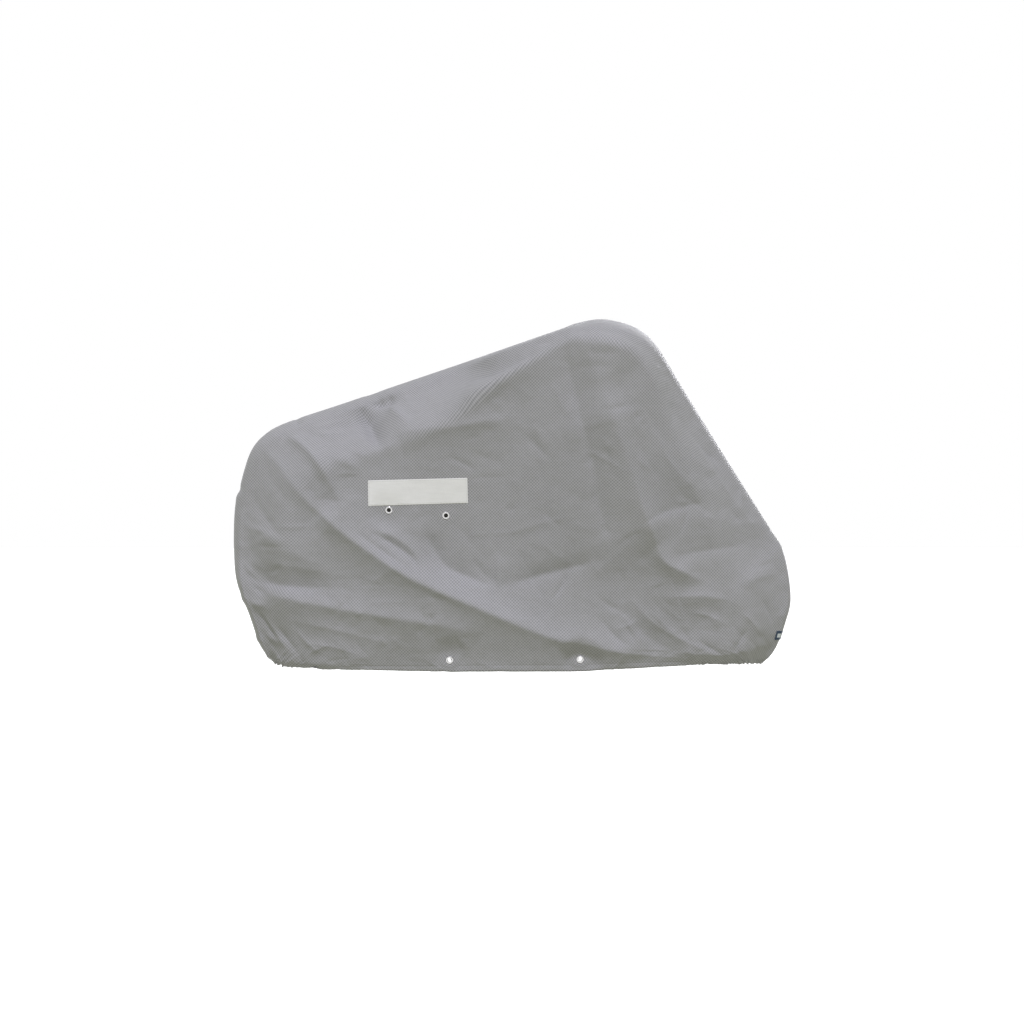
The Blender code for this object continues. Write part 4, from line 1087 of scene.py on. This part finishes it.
def studio():
    """Camera, lights, a pale floor and a white surround."""
    scene = bpy.context.scene
    camera = bpy.data.objects.new("camera", bpy.data.cameras.new("camera"))
    scene.collection.objects.link(camera)
    camera.data.lens, camera.data.sensor_width = LENS, SENSOR
    camera.data.clip_end = 300
    camera.location = (VIEW_X, -VIEW_DISTANCE, VIEW_Z)
    camera.rotation_euler = (math.pi / 2, 0, 0)
    scene.camera = camera
    scene.view_settings.view_transform = "Standard"

    world = bpy.data.worlds.new("studio")
    world.use_nodes = True
    background = world.node_tree.nodes["Background"]
    background.inputs["Color"].default_value = (*WORLD, 1)
    background.inputs["Strength"].default_value = WORLD_STRENGTH
    scene.world = world

    for name, towards, angle, strength, colour in LIGHTS:
        light = bpy.data.objects.new(name, bpy.data.lights.new(name, "SUN"))
        scene.collection.objects.link(light)
        light.data.angle, light.data.energy = math.radians(angle), strength
        light.data.color = colour
        light.location = Vector(towards) * 8
        light.rotation_euler = Vector(towards).to_track_quat("Z", "Y").to_euler()

    sphere = ball("surround", SURROUND_RADIUS, glowing("surround", (0, 0, 0), 0.5, 0.0, 1.0))
    pale = glowing("floor", (0.32, 0.32, 0.32), 0.9, 0.1, 0.95)
    angles = np.linspace(0, 2 * math.pi, 96, endpoint=False)
    rim = [(FLOOR_RADIUS * math.cos(a), FLOOR_RADIUS * math.sin(a), FLOOR_Z) for a in angles]
    mesh = bpy.data.meshes.new("floor")
    mesh.from_pydata(rim, [], [tuple(range(96))])
    mesh.materials.append(pale)
    floor = bpy.data.objects.new("floor", mesh)
    scene.collection.objects.link(floor)
    for thing in (sphere, floor):
        thing.visible_diffuse = False
        thing.visible_shadow = False


def ball(name, radius, finish):
    """A round surround, its faces pointing in."""
    rings, sides = 24, 48
    up = np.linspace(-math.pi / 2, math.pi / 2, rings + 1)
    around = np.linspace(0, 2 * math.pi, sides, endpoint=False)
    grid = np.stack([
        np.outer(np.cos(around), np.cos(up)), np.outer(np.sin(around), np.cos(up)),
        np.repeat(np.sin(up)[None, :], sides, axis=0),
    ], axis=2) * radius
    index = np.arange(sides * (rings + 1)).reshape(sides, rings + 1)
    ahead = np.roll(index, -1, axis=0)
    quads = np.stack([index[:, :-1], index[:, 1:], ahead[:, 1:], ahead[:, :-1]], axis=2)
    return mesh_object(name, grid.reshape(-1, 3), quads.reshape(-1, 4), finish, None, 180)


# ------------------------------------------------------------------ the pieces


def ride(piece, slot, *nodes):
    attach(piece, "root")
    if nodes:
        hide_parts(*nodes)


def add_eyelet(node, x, z, side, tree, metal):
    point, normal = seat(tree, x, z, side)
    ring = turned_ring(f"ring_{node}", eyelet_profile(), EYELET_SIDES, metal, point, normal)
    ride(ring, "eyelet_metal", node)


def add_panel(name, side, tables, eyelets, seed, nodes, cloth, thread):
    """One side's cloth and its hem's stitches. It returns the cloth as something to aim at."""
    piece, points, normals, cut = panel(name, side, *tables, eyelets, seed, cloth)
    ride(piece, "cover_cloth", *nodes)
    rows = stitches(f"stitches_{name}", hem_rows(points, normals), thread, eyelets)
    ride(rows, "cover_cloth")
    return tree_of(points)


def add_patch(tree, thread):
    width, height = PATCH[1][0] - PATCH[0][0], PATCH[0][1] - PATCH[3][1]
    pale = woven_material("pale_patch", PALE, width, height)
    columns, lines = ruled(76, 0.012), ruled(22, 0.05)
    patch, flat = slab("patch", PATCH, columns, lines, tree, pale, PATCH_EDGE)
    ride(patch, "pale_patch", "pale_patch")
    path = border_row(PATCH, PATCH_STITCHES, tree, PATCH_STITCH_LIFT)
    ride(stitches("stitches_patch", [path], thread), "pale_patch")


def add_tab(tree):
    width, height = TAB[1][0] - TAB[0][0], TAB[0][1] - TAB[3][1]
    navy = woven_material("navy_tab", NAVY, width, height, TAB_BLOCK)
    tab, flat = slab(
        "tab", TAB, ruled(12, 0.06), ruled(14, 0.05), tree, navy, TAB_EDGE,
        lift=lambda s, t: TAB_LIFT * (1 - s) ** 2 * (0.4 + 0.6 * t),
    )
    ride(tab, "navy_tab", "seam_tab")


def build():
    studio()
    cloth, metal, thread = cloth_material(), nickel_material(), thread_material()
    near = add_panel(
        "cloth_near", NEAR, (NEAR_FOLDS, NEAR_CREASES), HEM_EYELETS + LOCK_EYELETS, NEAR_SEED,
        ("panel_near", "hem_strip_near", "lock_strip"), cloth, thread,
    )
    for where, x, z in HEM_EYELETS:
        add_eyelet(f"hem_eyelet_near_{where}", x, z, NEAR, near, metal)
    far = add_panel(
        "cloth_far", FAR, (FAR_FOLDS, FAR_CREASES), FAR_EYELETS, FAR_SEED,
        ("panel_far", "hem_strip_far"), cloth, thread,
    )
    for where, x, z in FAR_EYELETS:
        add_eyelet(f"hem_eyelet_far_{where}", x, z, FAR, far, metal)
    for where, x, z in LOCK_EYELETS:
        add_eyelet(f"lock_eyelet_{where}", x, z, NEAR, near, metal)
    add_patch(near, thread)
    add_tab(near)


build()
